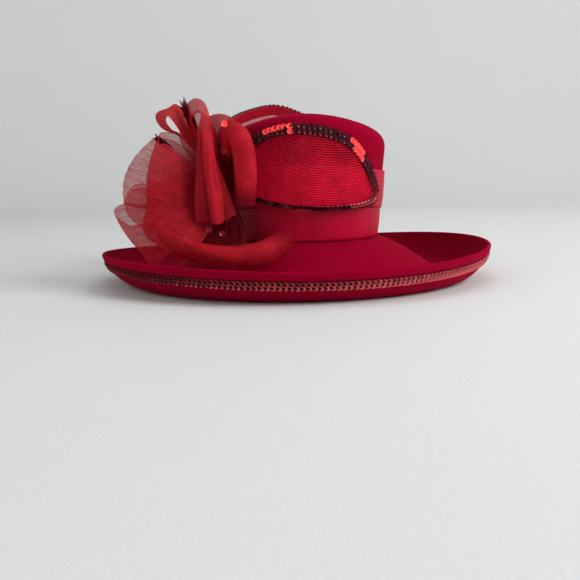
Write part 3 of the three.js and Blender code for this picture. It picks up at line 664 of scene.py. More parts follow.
@dataclass(frozen=True)
class Brim:
    """Upturned felt brim that rests on a flat ring, with a turned hem at its edge."""

    crown: Crown
    half_width: float = 215.0
    half_depth: float = 220.0
    felt: float = 2.4
    gap: float = 0.3
    root_drop: float = 0.4
    collar_z: float = 58.0
    flat_from: float = 0.68
    flat_to: float = 0.715
    blend: float = 0.8
    swell: float = 0.16
    curl: float = 74.0
    rim_z: float = 30.8
    rim_tilt: float = 2.7
    rim_saddle: float = 3.5
    rim_front: float = 2.5
    rim_twist: float = 3.2
    hem: float = 7.0
    hem_proud: float = 1.4
    groove: float = 1.0
    around: int = 256

    def rim_height(self, angle: float) -> float:
        """Height of the rim at an angle."""
        sides = self.rim_tilt * math.cos(angle) + self.rim_saddle * math.cos(2 * angle)
        ends = self.rim_twist * math.sin(2 * angle) - self.rim_front * math.sin(angle)
        return self.rim_z + sides + ends

    def plan(self, angle: float, share: Array | float) -> Array:
        """Plan points from 0 at the crown's wall to 1 at the rim."""
        inner = self.crown.wall(angle, self.crown.base_z)
        share = np.asarray(share, float)
        x = inner[0] + (self.half_width * math.cos(angle) - inner[0]) * share
        y = inner[1] + (self.half_depth * math.sin(angle) - inner[1]) * share
        return np.stack([x, y], -1)

    def underside(self, angle: float) -> tuple[Array, float]:
        """Underside as rows of distance out and height, and the brim's width there."""
        width = float(np.linalg.norm(self.plan(angle, 1.0) - self.plan(angle, 0.0)))
        under = self.crown.base_z - self.gap - self.felt - self.root_drop
        slope_end = self.flat_from * width
        ease_from = self.blend * slope_end
        ease = slope_end - ease_from
        slope = under / (ease_from + ease / 2)
        left = under - slope * ease_from
        rows = [(out, under - slope * out) for out in np.linspace(0, ease_from, 20)[:-1]]
        rows += [(ease_from + d, left - slope * d + slope * d * d / (2 * ease))
                 for d in np.linspace(0, ease, 14)]
        rows = [(out, z * (1 + self.swell * math.sin(math.pi * out / slope_end))) for out, z in rows]
        curl_from = self.flat_to * width
        curl = math.radians(self.curl)
        height = self.rim_height(angle)
        for at in np.linspace(0, curl, 26):
            out = curl_from + (width - curl_from) * math.sin(at) / math.sin(curl)
            rows.append((out, height * (1 - math.cos(at)) / (1 - math.cos(curl))))
        return np.array(rows), width

    @staticmethod
    def away(line: Array, distance: Array | float) -> Array:
        """Line moved to its left by a distance, or by one for each point."""
        run = unit(np.gradient(line, axis=0))
        return line + np.stack([-run[:, 1], run[:, 0]], -1) * np.reshape(distance, (-1, 1))

    def relief(self, distance: Array) -> Array:
        """How far the hem's welt stands proud, and its groove lies deep, at distances from the rim."""
        share = np.clip((distance - self.hem / 2) / (self.hem / 2), -1, 1)
        welt = self.hem_proud * np.sqrt(np.clip(1 - np.maximum(share, 0) ** 4, 0, 1))
        return welt - self.groove * np.exp(-((distance - self.hem - 0.4) / 0.6) ** 2)

    def section(self, line: Array) -> Array:
        """Closed outline of the felt over an underside, as rows of distance out and height."""
        fine_at = np.concatenate([np.linspace(0, 0.9, 64)[:-1], np.linspace(0.9, 1, 34)])
        back = runs(line[::-1])[::-1]
        fine = np.stack([np.interp(fine_at, 1 - back / back[0], line[:, k]) for k in (0, 1)], -1)
        outer = self.away(fine, -self.relief(runs(fine[::-1])[::-1]))
        inner = self.away(fine, self.felt)
        top = self.crown.base_z - self.gap
        inner[0] = (0.0, top)
        end = (outer[-1] + inner[-1]) / 2
        arm = (inner[-1] - outer[-1]) / 2
        ahead = unit(fine[-1] - fine[-2]) * np.linalg.norm(arm)
        cap = [end - arm * math.cos(a) + ahead * math.sin(a) for a in np.linspace(0, math.pi, 9)[1:-1]]
        collar = self.crown.felt + self.gap
        foot = [(-collar - self.felt, self.collar_z), (-collar - self.felt, top)]
        return np.array([*foot, *outer, *cap, *inner[::-1], (-collar, top), (-collar, self.collar_z)])

    def to_space(self, angle: float, rows: Array, width: float) -> Array:
        """Rows of distance out and height as points in space."""
        return np.concatenate([self.plan(angle, rows[:, 0] / width), rows[:, 1:2]], -1)

    def build(self, felt: Material) -> None:
        """Models the brim as one closed ring of felt."""
        rings = []
        for angle in circle(self.around):
            line, width = self.underside(angle)
            rings.append(self.to_space(angle, self.section(line), width))
        dress(skin("brim_felt", np.array(rings), (True, True), merge=DOUBLES, sharp=60), felt, "felt", "brim")

    def strip_point(self, angle: float, below: float, stand: float) -> Array:
        """Point on the outer face at a distance below the rim and off the felt."""
        line, width = self.underside(angle)
        shifted = self.away(line, -stand)
        distance = runs(line[::-1])[::-1]
        row = [np.interp(-below, -distance, shifted[:, k]) for k in (0, 1)]
        return self.to_space(angle, np.array([row]), width)[0]


# Bands


@dataclass(frozen=True)
class Band:
    """Satin ribbon round the crown, with soft folds along its length; rise lifts it at front and back."""

    crown: Crown
    name: str
    node: str
    inside: float
    bottom: float
    top: float
    rise: float
    satin: float = 1.2
    around: int = 192
    across: int = 14

    def build(self, satin: Material) -> None:
        """Models the band."""
        angles = circle(self.around)
        height = self.top - self.bottom
        shares = np.linspace(0, 1, self.across)[:, None]
        z = self.bottom + self.rise * np.sin(angles) ** 2 + height * shares
        soft = 0.22 * np.sin(angles * 9 + 5 * shares) * np.sin(math.pi * shares)
        fold = 0.3 * np.sin(angles * 5 + 2) * np.sin(TURN * shares + angles * 2)
        edge = -0.35 * (2 * shares - 1) ** 8
        grid = self.crown.wall(angles, z, self.inside + self.satin / 2 + 0.3 + soft + fold + edge)
        middle = self.crown.wall(np.linspace(0, TURN, 181), (self.top + self.bottom) / 2, self.inside)
        length = float(runs(middle)[-1])
        across = shares * height
        cloth = weave(angles / TURN * length, across, np.minimum(across, height - across))
        obj = skin(self.name, grid, wall=CLOTH_WALL, weave=cloth)
        dress(obj, satin, "satin", self.node)


# Sequins


class Sequins:
    """Cup sequins: modelled once, and stamped along strips as one joined mesh."""

    def __init__(self, radius: float = 3.0, slope: float = 0.34, depth: float = 0.24, ring: float = 0.42,
                 film: float = 0.16) -> None:
        """Models the sequin.

        Args:
            radius: outer radius in millimetres.
            slope: width of the sloping edge as a share of the radius.
            depth: depth of the cup as such a share.
            ring: width of the flat ring round the hole as such a share.
            film: thickness in millimetres.
        """
        bpy.ops.object.select_all(action="DESELECT")
        bpy.ops.mesh.primitive_circle_add(vertices=10, radius=radius * MM, fill_type="NGON")
        obj = bpy.context.object
        bpy.ops.object.mode_set(mode="EDIT")
        bpy.ops.mesh.select_all(action="SELECT")
        bpy.ops.mesh.inset(thickness=radius * slope * MM)
        bpy.ops.transform.translate(value=(0, 0, -radius * depth * MM))
        bpy.ops.mesh.inset(thickness=radius * ring * MM)
        bpy.ops.mesh.delete(type="FACE")
        bpy.ops.object.mode_set(mode="OBJECT")
        apply_modifier(obj, "SOLIDIFY", thickness=film * MM, offset=0.0)
        clean(obj, DOUBLES / 2)
        self.vertices = np.array([v.co for v in obj.data.vertices]) / MM
        self.faces = [tuple(p.vertices) for p in obj.data.polygons]
        bpy.data.objects.remove(obj)

    def stamp(self, name: str, places: list[Array], glints: list[tuple[float, ...]]) -> Object:
        """Joined mesh of one sequin at each place.

        Args:
            name: the piece's name.
            places: 3 by 4 matrices, turn and place, in millimetres.
            glints: for each sequin its painted highlight, its tone and its painted sheen.

        Returns:
            The joined object.
        """
        count = len(self.vertices)
        points = [self.vertices @ place[:, :3].T + place[:, 3] for place in places]
        faces = [[i * count + k for k in face] for i in range(len(places)) for face in self.faces]
        obj = new_object(name, np.concatenate(points), faces)
        write(obj, "glint", np.repeat(glints, count, 0))
        soften(obj, 40)
        return obj


def seat(place: Array, along: Array, normal: Array, tilt: float, roll: float) -> Array:
    """Matrix of a sequin on a strip.

    Args:
        place: its middle.
        along: direction of the strip.
        normal: direction away from what carries it.
        tilt: degrees that it leans along the strip, as each lies on the next.
        roll: degrees that it leans across the strip.

    Returns:
        Three rows of four numbers.
    """
    z = unit(normal)
    x = unit(along - z * float(along @ z))
    base = Matrix((x, np.cross(z, x), z)).transposed()
    turn = Matrix.Rotation(math.radians(tilt), 3, "Y") @ Matrix.Rotation(math.radians(roll), 3, "X")
    return np.concatenate([np.array(base @ turn), np.reshape(place, (3, 1))], 1)


@dataclass(frozen=True)
class BrimTrim:
    """Two rows of sequins on a thin braid under the brim's hem."""

    brim: Brim
    rows: tuple[float, ...] = (10.0, 14.3)
    pitch: float = 5.4
    stand: float = 1.5
    tape_stand: float = 0.7
    # Ranges of painted sheen for each row; the upper row's lower range is painted shade under the hem.
    painted_sheen_ranges: tuple[tuple[float, float], ...] = ((0.4, 0.8), (0.85, 1.0))
    seed: int = 11

    def build(self, sequins: Sequins, film: Material, tape: Material) -> None:
        """Models the sequins and the braid that carries them."""
        draw = random.Random(self.seed)
        spot = self.brim.strip_point
        angles = np.linspace(0, TURN, 361)
        places, glints = [], []
        for row, below in enumerate(self.rows):
            run = runs(np.array([spot(a, below, self.stand) for a in angles]))
            for angle in np.interp(spaced(run, self.pitch, row), run, angles):
                point = spot(angle, below, self.stand)
                ahead = spot(angle + 0.01, below, self.stand) - point
                normal = np.cross(spot(angle, below + 1, self.stand) - point, ahead)
                places.append(seat(point, ahead, normal, draw.gauss(-17, 2), draw.gauss(5, 3)))
                # Painted sheen, brighter towards the right where the light falls.
                side = min(1.0, 0.84 + 0.4 * math.cos(angle))
                glints.append((0.0, draw.random(), draw.uniform(*self.painted_sheen_ranges[row]) * side))
        dress(sequins.stamp("brim_sequins", places, glints), film, "sequins", "brim_trim")
        angles = circle(192)
        belows = np.linspace(self.rows[0] - 2.2, self.rows[-1] + 2.6, 6)
        grid = np.array([[spot(a, below, self.tape_stand) for a in angles] for below in belows])
        cloth = weave(angles * self.brim.half_width, belows[:, None], 3.0)
        dress(skin("brim_braid", grid, wall=TAPE_WALL, weave=cloth), tape, "satin")


# Side loops


@dataclass(frozen=True)
class SideLoop:
    """Oval of mesh laid against the crown and edged with two rows of sequins.

    The outline holds degrees round the wall from its front or back, and heights. Rows are the sequins' depths
    from the outline. The painted highlight holds ranges of degrees in which sequins of one row are painted as
    catching the light.
    """

    crown: Crown
    prefix: str
    side: int
    outline: tuple[tuple[float, float], ...]
    stand: float = 3.8
    mesh: float = 1.4
    lean: float = 0.12
    puff: float = 1.4
    trim_width: float = 11.0
    pitch: float = 4.7
    turn: float = 0.0
    narrowing: float = 0.5
    rows: tuple[float, ...] = (2.9, 7.9)
    tape_stand: float = 0.6
    sequin_stand: float = 1.6
    cover: float = 0.0
    painted_sheen_from: float = 45.0
    painted_highlight_above: float = 112.0
    painted_highlight: tuple[tuple[float, float, int], ...] = ()
    seed: int = 5

    @property
    def arc(self) -> float:
        """Millimetres along the wall for each degree round it."""
        return math.radians(1) * (self.crown.half_width + self.crown.half_depth) / 2

    def rim(self, count: int) -> Array:
        """Smooth closed outline in millimetres along the wall and height."""
        return spline(np.array(self.outline) * (self.arc, 1), count, closed=True)

    def inset(self, line: Array, distance: Array | float) -> Array:
        """Outline moved inwards by a distance."""
        along = unit(np.roll(line, -1, 0) - np.roll(line, 1, 0))
        return line + np.stack([along[:, 1], -along[:, 0]], -1) * distance

    def on_wall(self, places: Array, outside: Array | float) -> Array:
        """Points in space over places on the wall."""
        angles = self.side * (math.pi / 2 - np.radians(places[..., 0] / self.arc))
        return self.crown.wall(angles, places[..., 1], outside)

    def build(self, crin: Material, sequins: Sequins, film: Material, tape: Material) -> None:
        """Models the mesh, its tape and its sequins."""
        self.build_mesh(crin)
        self.build_tape(tape)
        self.build_sequins(sequins, film)

    def build_mesh(self, crin: Material) -> None:
        """Models the oval of mesh, with painted shade to its left and at its top."""
        line = self.rim(120)
        edge = self.inset(line, self.trim_width)
        centre = line.mean(0)
        spans = np.ptp(line, axis=0)
        base = self.stand + self.mesh / 2
        rings = [(self.inset(line, d), base + self.lean * d, d) for d in (0.0, 3.0, 7.0, self.trim_width)]
        for share in (0.85, 0.7, 0.5, 0.3, 0.12, 0.0):
            out = base + self.lean * self.trim_width + self.puff * (1 - share ** 2)
            rings.append((lerp(centre, edge, share), out, self.trim_width + 5))
        grid = np.array([self.on_wall(ring, out) for ring, out, _ in rings])
        flat = np.array([ring for ring, _, _ in rings])
        inside = np.array([[distance] for _, _, distance in rings])
        right, up = np.moveaxis((flat - line.min(0)) / spans, -1, 0)
        dip = np.maximum(1 - smooth(0.0, 0.42, right), smooth(0.42, 0.8, up)) * 0.42
        obj = skin(self.prefix + "_mesh", grid, merge=DOUBLES, wall=CLOTH_WALL, dip=dip,
                   weave=weave(flat[..., 0], flat[..., 1], inside), cover=np.full(dip.shape, self.cover))
        dress(obj, crin, "mesh_ribbon", self.prefix)

    def lay(self, line: Array, depth: float) -> tuple[Array, Array, Array]:
        """Where the trim lies at a depth from the outline; low down it is turned up on its edge.

        Args:
            line: the outline's points.
            depth: distance from the outline's edge across the trim.

        Returns:
            Places on the wall, distances outside the mesh and the trim's turn in radians, point by point.
        """
        step, reach = len(line) // 40, len(line) // 16
        run = unit(np.roll(line, -step, 0) - np.roll(line, step, 0))
        turned = smooth(0.1, 0.97, -run[:, 0]) if self.turn else np.zeros(len(line))
        wrapped = np.concatenate([turned[-reach:], turned, turned[:reach]])
        turned = np.convolve(wrapped, np.full(2 * reach + 1, 1 / (2 * reach + 1)), "valid")
        angle = math.radians(self.turn) * turned
        width = depth * (1 - self.narrowing * turned)
        places = self.inset(line, (width * np.cos(angle))[:, None])
        return places, self.lean * depth * (1 - turned) + width * np.sin(angle), angle

    def build_tape(self, tape: Material) -> None:
        """Models the tape that the sequins are sewn on."""
        line = self.rim(240)
        base = self.stand + self.mesh + self.tape_stand
        insets = np.linspace(0.4, self.trim_width, 6)
        laid = [self.lay(line, depth) for depth in insets]
        grid = np.array([self.on_wall(places, base + outs) for places, outs, _ in laid])
        cloth = weave(np.linspace(0, 400, len(line)), insets[:, None], 2.0)
        dress(skin(self.prefix + "_tape", grid, wall=TAPE_WALL, weave=cloth), tape, "satin")

    def build_sequins(self, sequins: Sequins, film: Material) -> None:
        """Models the two rows of sequins."""
        draw = random.Random(self.seed)
        line = self.rim(720)
        base = self.stand + self.mesh + self.sequin_stand
        places, glints = [], []
        for row, depth in enumerate(self.rows):
            spots, outs, turns = self.lay(line, depth)
            points = self.on_wall(spots, base + outs)
            normals = self.on_wall(spots, base + 5) - self.on_wall(spots, base)
            run = runs(np.concatenate([spots, spots[:1]]))
            for i in (np.searchsorted(run, spaced(run, self.pitch, row), side="right") - 1) % len(line):
                along = points[(i + 4) % len(line)] - points[i]
                glint = self.glint(spots[i], row)
                tilt = draw.gauss(14, 4) * (1 - 0.5 * glint)
                roll = draw.gauss(0, 6) + math.degrees(turns[i])
                places.append(seat(points[i], along, normals[i], tilt, roll))
                # Painted sheen (pale): glints on sequins turned on their edge, on the second row at the right
                # and at random elsewhere.
                pale = 0.7 if spots[i][0] > self.painted_sheen_from and row else 0.7 * draw.random() ** 4
                glints.append((glint, draw.random(), pale * turns[i]))
        obj = sequins.stamp(self.prefix + "_sequins", places, glints)
        dress(obj, film, "sequins", self.prefix + "_trim")

    def glint(self, place: Array, row: int) -> float:
        """Painted highlight on a sequin at a place of a row: 1 where it is painted as catching the light."""
        degrees = place[0] / self.arc
        chosen = any(a <= degrees <= b and row == which for a, b, which in self.painted_highlight)
        return float(chosen and place[1] > self.painted_highlight_above)


FRONT_OUTLINE = (
    (-52, 118), (-44, 142), (-27, 160), (-8, 167), (13, 163), (30, 152), (43, 132),
    (54, 105), (53, 87), (35, 81), (5, 80), (-25, 87), (-45, 100),
)
BACK_OUTLINE = (
    (-98, 128), (-80, 157), (-62, 176), (-45, 189), (-20, 199), (-2, 191), (16, 172),
    (30, 148), (34, 128), (26, 115), (5, 108), (-25, 110), (-56, 112), (-82, 116),
)


# Rosette


@dataclass(frozen=True)
class Knot:
    """Where the ribbons of the rosette are gathered."""

    crown: Crown
    azimuth: float = -142.0
    z: float = 100.0
    stand: float = 12.8
    radius: float = 11.0
    squash: float = 0.8

    def centre(self) -> Array:
        """Middle of the knot."""
        return self.crown.wall(math.radians(self.azimuth), self.z, self.stand)

    def dip(self, points: Array, reach: float) -> Array:
        """Painted shade of points deep in the rosette: 1 at the knot, 0 beyond its reach."""
        return 1 - smooth(self.radius, reach, np.linalg.norm(points - self.centre(), axis=-1))

    def build(self, material: Material) -> None:
        """Models the gathered ribbon ends as a puckered ball."""
        middle = Vector(self.centre() * MM)
        outward = Vector(aim(self.azimuth))
        bpy.ops.object.select_all(action="DESELECT")
        bpy.ops.mesh.primitive_uv_sphere_add(segments=48, ring_count=24, radius=self.radius * MM)
        obj = bpy.context.object
        obj.name = obj.data.name = "flower_heart"
        cloth = []
        for vertex in obj.data.vertices:
            arm = vertex.co.copy()
            arm -= outward * arm.dot(outward) * (1 - self.squash)
            spin = math.atan2(arm.z, arm.cross(outward).z + arm.x * 0.5)
            pucker = 1 + 0.07 * math.sin(9 * spin) + 0.04 * math.sin(23 * spin + 40 * arm.length)
            vertex.co = middle + arm * pucker
            cloth.append((spin * 10, arm.dot(outward) / MM, 5.0))
        write(obj, "weave", weave(*np.array(cloth).T))
        clean(obj)
        soften(obj)
        dress(obj, material, "mesh_ribbon", "flower_knot")


@dataclass(frozen=True)
class MeshRibbon:
    """A ribbon of mesh given as a grid of points."""

    name: str
    node: str
    grid: Array
    dip: Array
    cover: Array
    held: str = "folded"
    wall: float = 0.45

    def build(self, crin: Material) -> None:
        """Models the ribbon with a thin wall and its selvages."""
        steps = np.linalg.norm(np.diff(self.grid, axis=0), axis=2).mean(1)
        along = np.concatenate([[0], np.cumsum(steps)])
        cells = np.linalg.norm(np.diff(self.grid, axis=1), axis=2)
        across = np.pad(np.cumsum(cells, 1), ((0, 0), (1, 0)))
        widths = across[:, -1:]
        full = float(widths.max())
        share = across / np.maximum(widths, 1e-6)
        cloth = weave(along[:, None], share * full, np.minimum(share, 1 - share) * widths)
        obj = skin(self.name, self.grid, (False, False), wall=self.wall, weave=cloth, dip=self.dip,
                   cover=self.cover)
        dress(obj, crin, "mesh_ribbon", self.node)


@dataclass(frozen=True)
class FoldedLoop:
    """Loop of ribbon behind the others: it leaves the knot, folds over and comes back beside itself."""

    node: str
    azimuth: float
    lift: float
    turn: float
    reach: float
    opening: float
    width: float
    bow: float = 2.0
    pleats: float = 1.2
    look: MeshLook = MeshLook.AIRY
    cover: float = 0.0
    # Reach in millimetres of the painted shade round the knot.
    shade: float = 95.0
    stations: int = 56
    across: int = 17
    root: float = 5.0

    def grid(self, knot: Knot) -> Array:
        """Points of the loop, station by station."""
        ahead, turn = aim(self.azimuth, self.lift), math.radians(self.turn)
        level, raised = cross_axes(ahead)
        width = level * math.cos(turn) + raised * math.sin(turn)
        apart = np.cross(ahead, width)
        v = np.linspace(-1, 1, self.across)[:, None]
        rows = []
        for t in np.linspace(0, 1, self.stations):
            swell, leg = math.sin(math.pi * t), math.cos(math.pi * t)
            out = lerp(self.root, self.reach, (1 - math.cos(TURN * t)) / 2)
            side = self.opening / 2 * math.sin(TURN * t) * swell / 0.77 + 1.3 * leg
            half = lerp(knot.radius * 0.8, self.width, swell ** 0.8) / 2
            fan = v * min(half / max(out, 9.0), 0.9)
            arm = ahead * np.cos(fan) + width * np.sin(fan)
            bulge = self.bow * (1 - v ** 2) * leg * swell
            gather = self.pleats * np.cos(5.5 * math.pi * v + 3 * t) * (1 - swell) * leg
            rows.append(knot.centre() + arm * out + apart * (side + bulge + gather))
        return np.array(rows)


@dataclass(frozen=True)
class Petal:
    """Ribbon given by rows of its first edge, its second edge and the bulge of its middle."""

    node: str
    rows: tuple[tuple[float, ...], ...]
    pleats: float = 1.3
    folds: float = 3.5
    flutter: float = 0.7
    look: MeshLook = MeshLook.AIRY
    cover: float = 0.0
    # Reach in millimetres of the painted shade round the knot.
    shade: float = 95.0
    stations: int = 84
    across: int = 21

    @staticmethod
    def middle(rows: Array) -> Array:
        """Places half way between the edges of rows."""
        return (rows[..., :3] + rows[..., 3:6]) / 2

    def root(self, knot: Knot, row: Array) -> Array:
        """Narrow row inside the knot towards a ribbon's first or last row."""
        centre = knot.centre()
        place = centre + unit(self.middle(row) - centre) * knot.radius * 0.5
        arm = unit(row[3:6] - row[:3]) * knot.radius * 0.4
        return np.array([*(place - arm), *(place + arm), 0.0])

    def line(self, knot: Knot, back: bool = True) -> Array:
        """Rows at even distance along the ribbon, from the knot and, where it comes back, to the knot."""
        rows = np.array(self.rows, float)
        ends = [self.root(knot, rows[-1])] if back else []
        given = np.array([self.root(knot, rows[0]), *rows, *ends])
        return spline(np.concatenate([self.middle(given), given], 1), self.stations)[:, 3:]

    def shares(self) -> tuple[Array, Array]:
        """Shares across the ribbon from -1 to 1 and along it from 0 to 1."""
        return np.linspace(-1, 1, self.across)[None, :], np.linspace(0, 1, self.stations)[:, None]

    def spread(self, line: Array) -> tuple[Array, Array]:
        """Points of the ribbon without its folds, and the directions square to it at its stations."""
        v, _ = self.shares()
        flat = lerp(line[:, None, :3], line[:, None, 3:6], ((v + 1) / 2)[..., None])
        ahead = np.gradient(self.middle(line), axis=0)
        return flat, unit(np.cross(ahead, line[:, 3:6] - line[:, :3]))[:, None, :]

    def grid(self, knot: Knot) -> Array:
        """Points of the ribbon, station by station."""
        line = self.line(knot)
        draw = random.Random(self.node)
        phase, turn = draw.uniform(0, 6), draw.uniform(-1, 1)
        v, run = self.shares()
        flat, face = self.spread(line)
        away = self.middle(line) - knot.centre()
        far = np.linalg.norm(away, axis=1)[:, None]
        gathered = self.pleats * (1 - smooth(14, 62, far)) * np.cos(self.folds * math.pi * v + phase)
        creased = 0.3 * np.sin(7.3 * math.pi * v + phase + turn * 3 * run)
        edge = self.flutter * v ** 4 * np.sin(math.pi * (9 + turn) * run + phase + 2 * v)
        edge = edge * smooth(20, 60, far)
        bulge = line[:, 6:7] * (1 - v ** 2)
        outward = unit(away)[:, None, :]
        return flat + outward * bulge[..., None] + face * (gathered + creased + edge)[..., None]


@dataclass(frozen=True)
class Tail(Petal):
    """Ribbon that folds over its crest and hangs in front with a half-round fold down its middle.

    A ridge row is a share of the ribbon's length, the fold's middle and half width as shares of half the
    ribbon's width, and its height.
    """

    ridge: tuple[tuple[float, ...], ...] = (
        (0.40, 0.0, 1.0, 0.0), (0.52, 0.0, 1.05, 3.0), (0.60, 0.16, 0.9, 5.0), (0.70, 0.22, 0.74, 6.5),
        (0.85, 0.20, 0.50, 6.5), (1.00, 0.10, 0.30, 5.5),
    )

    def fold(self, run: Array) -> tuple[Array, ...]:
        """Middle, half width and height of the fold at shares of the length."""
        table = np.array(self.ridge).T
        return tuple(np.interp(run, table[0], row) for row in table[1:])

    def grid(self, knot: Knot) -> Array:
        """Points of the ribbon, station by station."""
        v, run = self.shares()
        flat, face = self.spread(self.line(knot, back=False))
        middle, half, height = self.fold(run)
        ridge = np.clip(1 - ((v - middle) / half) ** 2, 0, 1) ** 0.55 * height
        hang = smooth(0.55, 0.8, run)
        side = hang * (0.7 * np.sin(11 * v + 1.0) - 1.6 * v ** 6)
        points = flat + face * -np.sign(face[-1, 0, 1]) * (ridge + side)[..., None]
        drop = 4.5 * smooth(1.0, 0.3, v) + 3.0 * np.exp(-((v - 0.1) / 0.25) ** 2)
        points[..., 2] += hang ** 6 * (0.5 * np.sin(7 * v + 0.5) + 0.4 * np.sin(19 * v) - drop)
        return points

    def thinner(self) -> Array:
        """How much less the ribbon covers before and over its crest, where it is one layer."""
        return np.repeat(-0.2 * (1 - smooth(0.5, 0.68, self.shares()[1])), self.across, 1)

    def dip(self) -> Array:
        """Painted shade that makes the ribbon's flat sides darker than its fold, station by station."""
        v, run = self.shares()
        middle, half, _ = self.fold(run)
        return smooth(0.7, 1.15, np.abs(v - middle) / half) * smooth(0.5, 0.62, run) * 0.5


TAIL = Tail("tail_loop", (
    (-77, -84, 111, -75, -72, 115, 0), (-91, -98, 143, -97, -80, 149, 0),
    (-98, -106, 162, -108, -84, 165, 0), (-102, -111, 172, -109, -85, 186, 0),
    (-99, -114, 176, -105, -87, 192, 0), (-95, -117, 178, -98, -90, 194, 0),
    (-92, -119, 176, -90, -94, 188, 0), (-94, -123, 162, -84, -105, 167, 0),
    (-96, -128, 138, -79, -119, 139, 0), (-99, -132, 102, -66, -130, 101, 0),
    (-99, -133, 75, -59, -131, 78, 0),
), stations=110, across=41)

PETALS = (
    Petal("loop_top_left", (
        (-82, -84, 114, -79, -70, 122, 0), (-107, -98, 148, -103, -74, 164, 0),
        (-120, -106, 169, -119, -78, 189, 0), (-125, -108, 176, -129, -80, 185, 0),
        (-128, -108, 173, -139, -82, 181, 0), (-127, -107, 168, -140, -83, 174, 0),
        (-122, -105, 162, -133, -84, 164, 0), (-113, -102, 157, -117, -82, 156, 0),
        (-89, -88, 122, -88, -74, 127, 0),
    ), cover=0.44),
    Petal("loop_mid_left", (
        (-85, -82, 122, -85, -86, 100, 0), (-108, -88, 155, -115, -92, 87, 3),
        (-132, -98, 161, -145, -104, 84, 6), (-136, -106, 155, -148, -112, 85, 6),
        (-134, -114, 148, -147, -118, 87, 6), (-128, -118, 149, -141, -122, 84, 6),
        (-120, -119, 143, -128, -124, 81, 5), (-106, -115, 130, -112, -122, 80, 3),
        (-85, -90, 108, -85, -94, 93, 0),
    ), cover=-0.02),
    Petal("loop_low_left", (
        (-87, -70, 100, -87, -74, 86, 0), (-154, -74, 88, -141, -82, 47, 1),
        (-171, -78, 90, -155, -88, 45, 2), (-183, -84, 88, -164, -94, 47, 2),
        (-187, -92, 83, -165, -100, 48, 2), (-182, -100, 77, -160, -106, 43, 2),
        (-171, -105, 71, -152, -112, 36, 2), (-158, -106, 70, -140, -116, 31, 2),
        (-86, -84, 92, -86, -88, 82, 0),
    )),
    Petal("loop_low_fan", (
        (-86, -74, 113, -86, -78, 91, 0), (-152, -80, 110, -142, -88, 64, 5),
        (-165, -84, 109, -156, -92, 66, 7), (-172, -90, 102, -161, -96, 68, 8),
        (-166, -97, 101, -158, -101, 68, 8), (-156, -100, 106, -147, -104, 65, 6),
        (-85, -84, 108, -86, -88, 89, 0),
    ), cover=-0.18),
    Petal("loop_high_fan", (
        (-84, -60, 122, -87, -64, 97, 0), (-120, -58, 149, -133, -64, 86, 4),
        (-139, -58, 157, -164, -66, 86, 9), (-147, -62, 157, -178, -70, 90, 12),
        (-142, -68, 153, -175, -76, 88, 12), (-124, -74, 142, -142, -82, 83, 6),
        (-84, -66, 116, -87, -70, 94, 0),
    ), cover=-0.17),
    # loop_under takes the shaded look: painted shade that fills the rosette's dark hollow.
    Petal("loop_under", (
        (-82, -90, 93, -69, -88, 93, 0), (-101, -98, 76, -58, -96, 77, 2),
        (-110, -108, 59, -53, -102, 61, 3), (-110, -121, 44, -50, -111, 42, 3),
        (-109, -110, 42, -52, -100, 40, 3), (-103, -92, 59, -56, -92, 60, 2),
        (-83, -84, 89, -69, -84, 89, 0),
    ), look=MeshLook.SHADED),
    Petal("loop_front_low", (
        (-85, -96, 92, -82, -100, 76, 0), (-117, -104, 84, -107, -112, 43, 4),
        (-138, -106, 88, -127, -118, 46, 8), (-148, -112, 87, -140, -124, 51, 10),
        (-144, -120, 89, -133, -132, 48, 10), (-127, -126, 90, -116, -140, 42, 8),
        (-109, -124, 86, -100, -142, 45, 6), (-84, -104, 87, -81, -112, 73, 0),
    ), shade=122.0),
    Petal("loop_top", (
        (-78, -86, 105, -69, -86, 105, 0), (-85, -86, 152, -62, -90, 150, 2),
        (-87, -85, 172, -59, -91, 167, 5), (-87, -91, 175, -58, -96, 171, 5),
        (-85, -97, 168, -59, -101, 165, 4), (-82, -98, 143, -62, -101, 143, 2),
        (-75, -92, 100, -68, -92, 100, 0),
    )),
)

LOOPS = (
    FoldedLoop("loop_back_high", azimuth=145, lift=54, turn=80, reach=94, opening=20, width=38),
    FoldedLoop("loop_back_low", azimuth=139, lift=-2, turn=84, reach=98, opening=16, width=44),
)


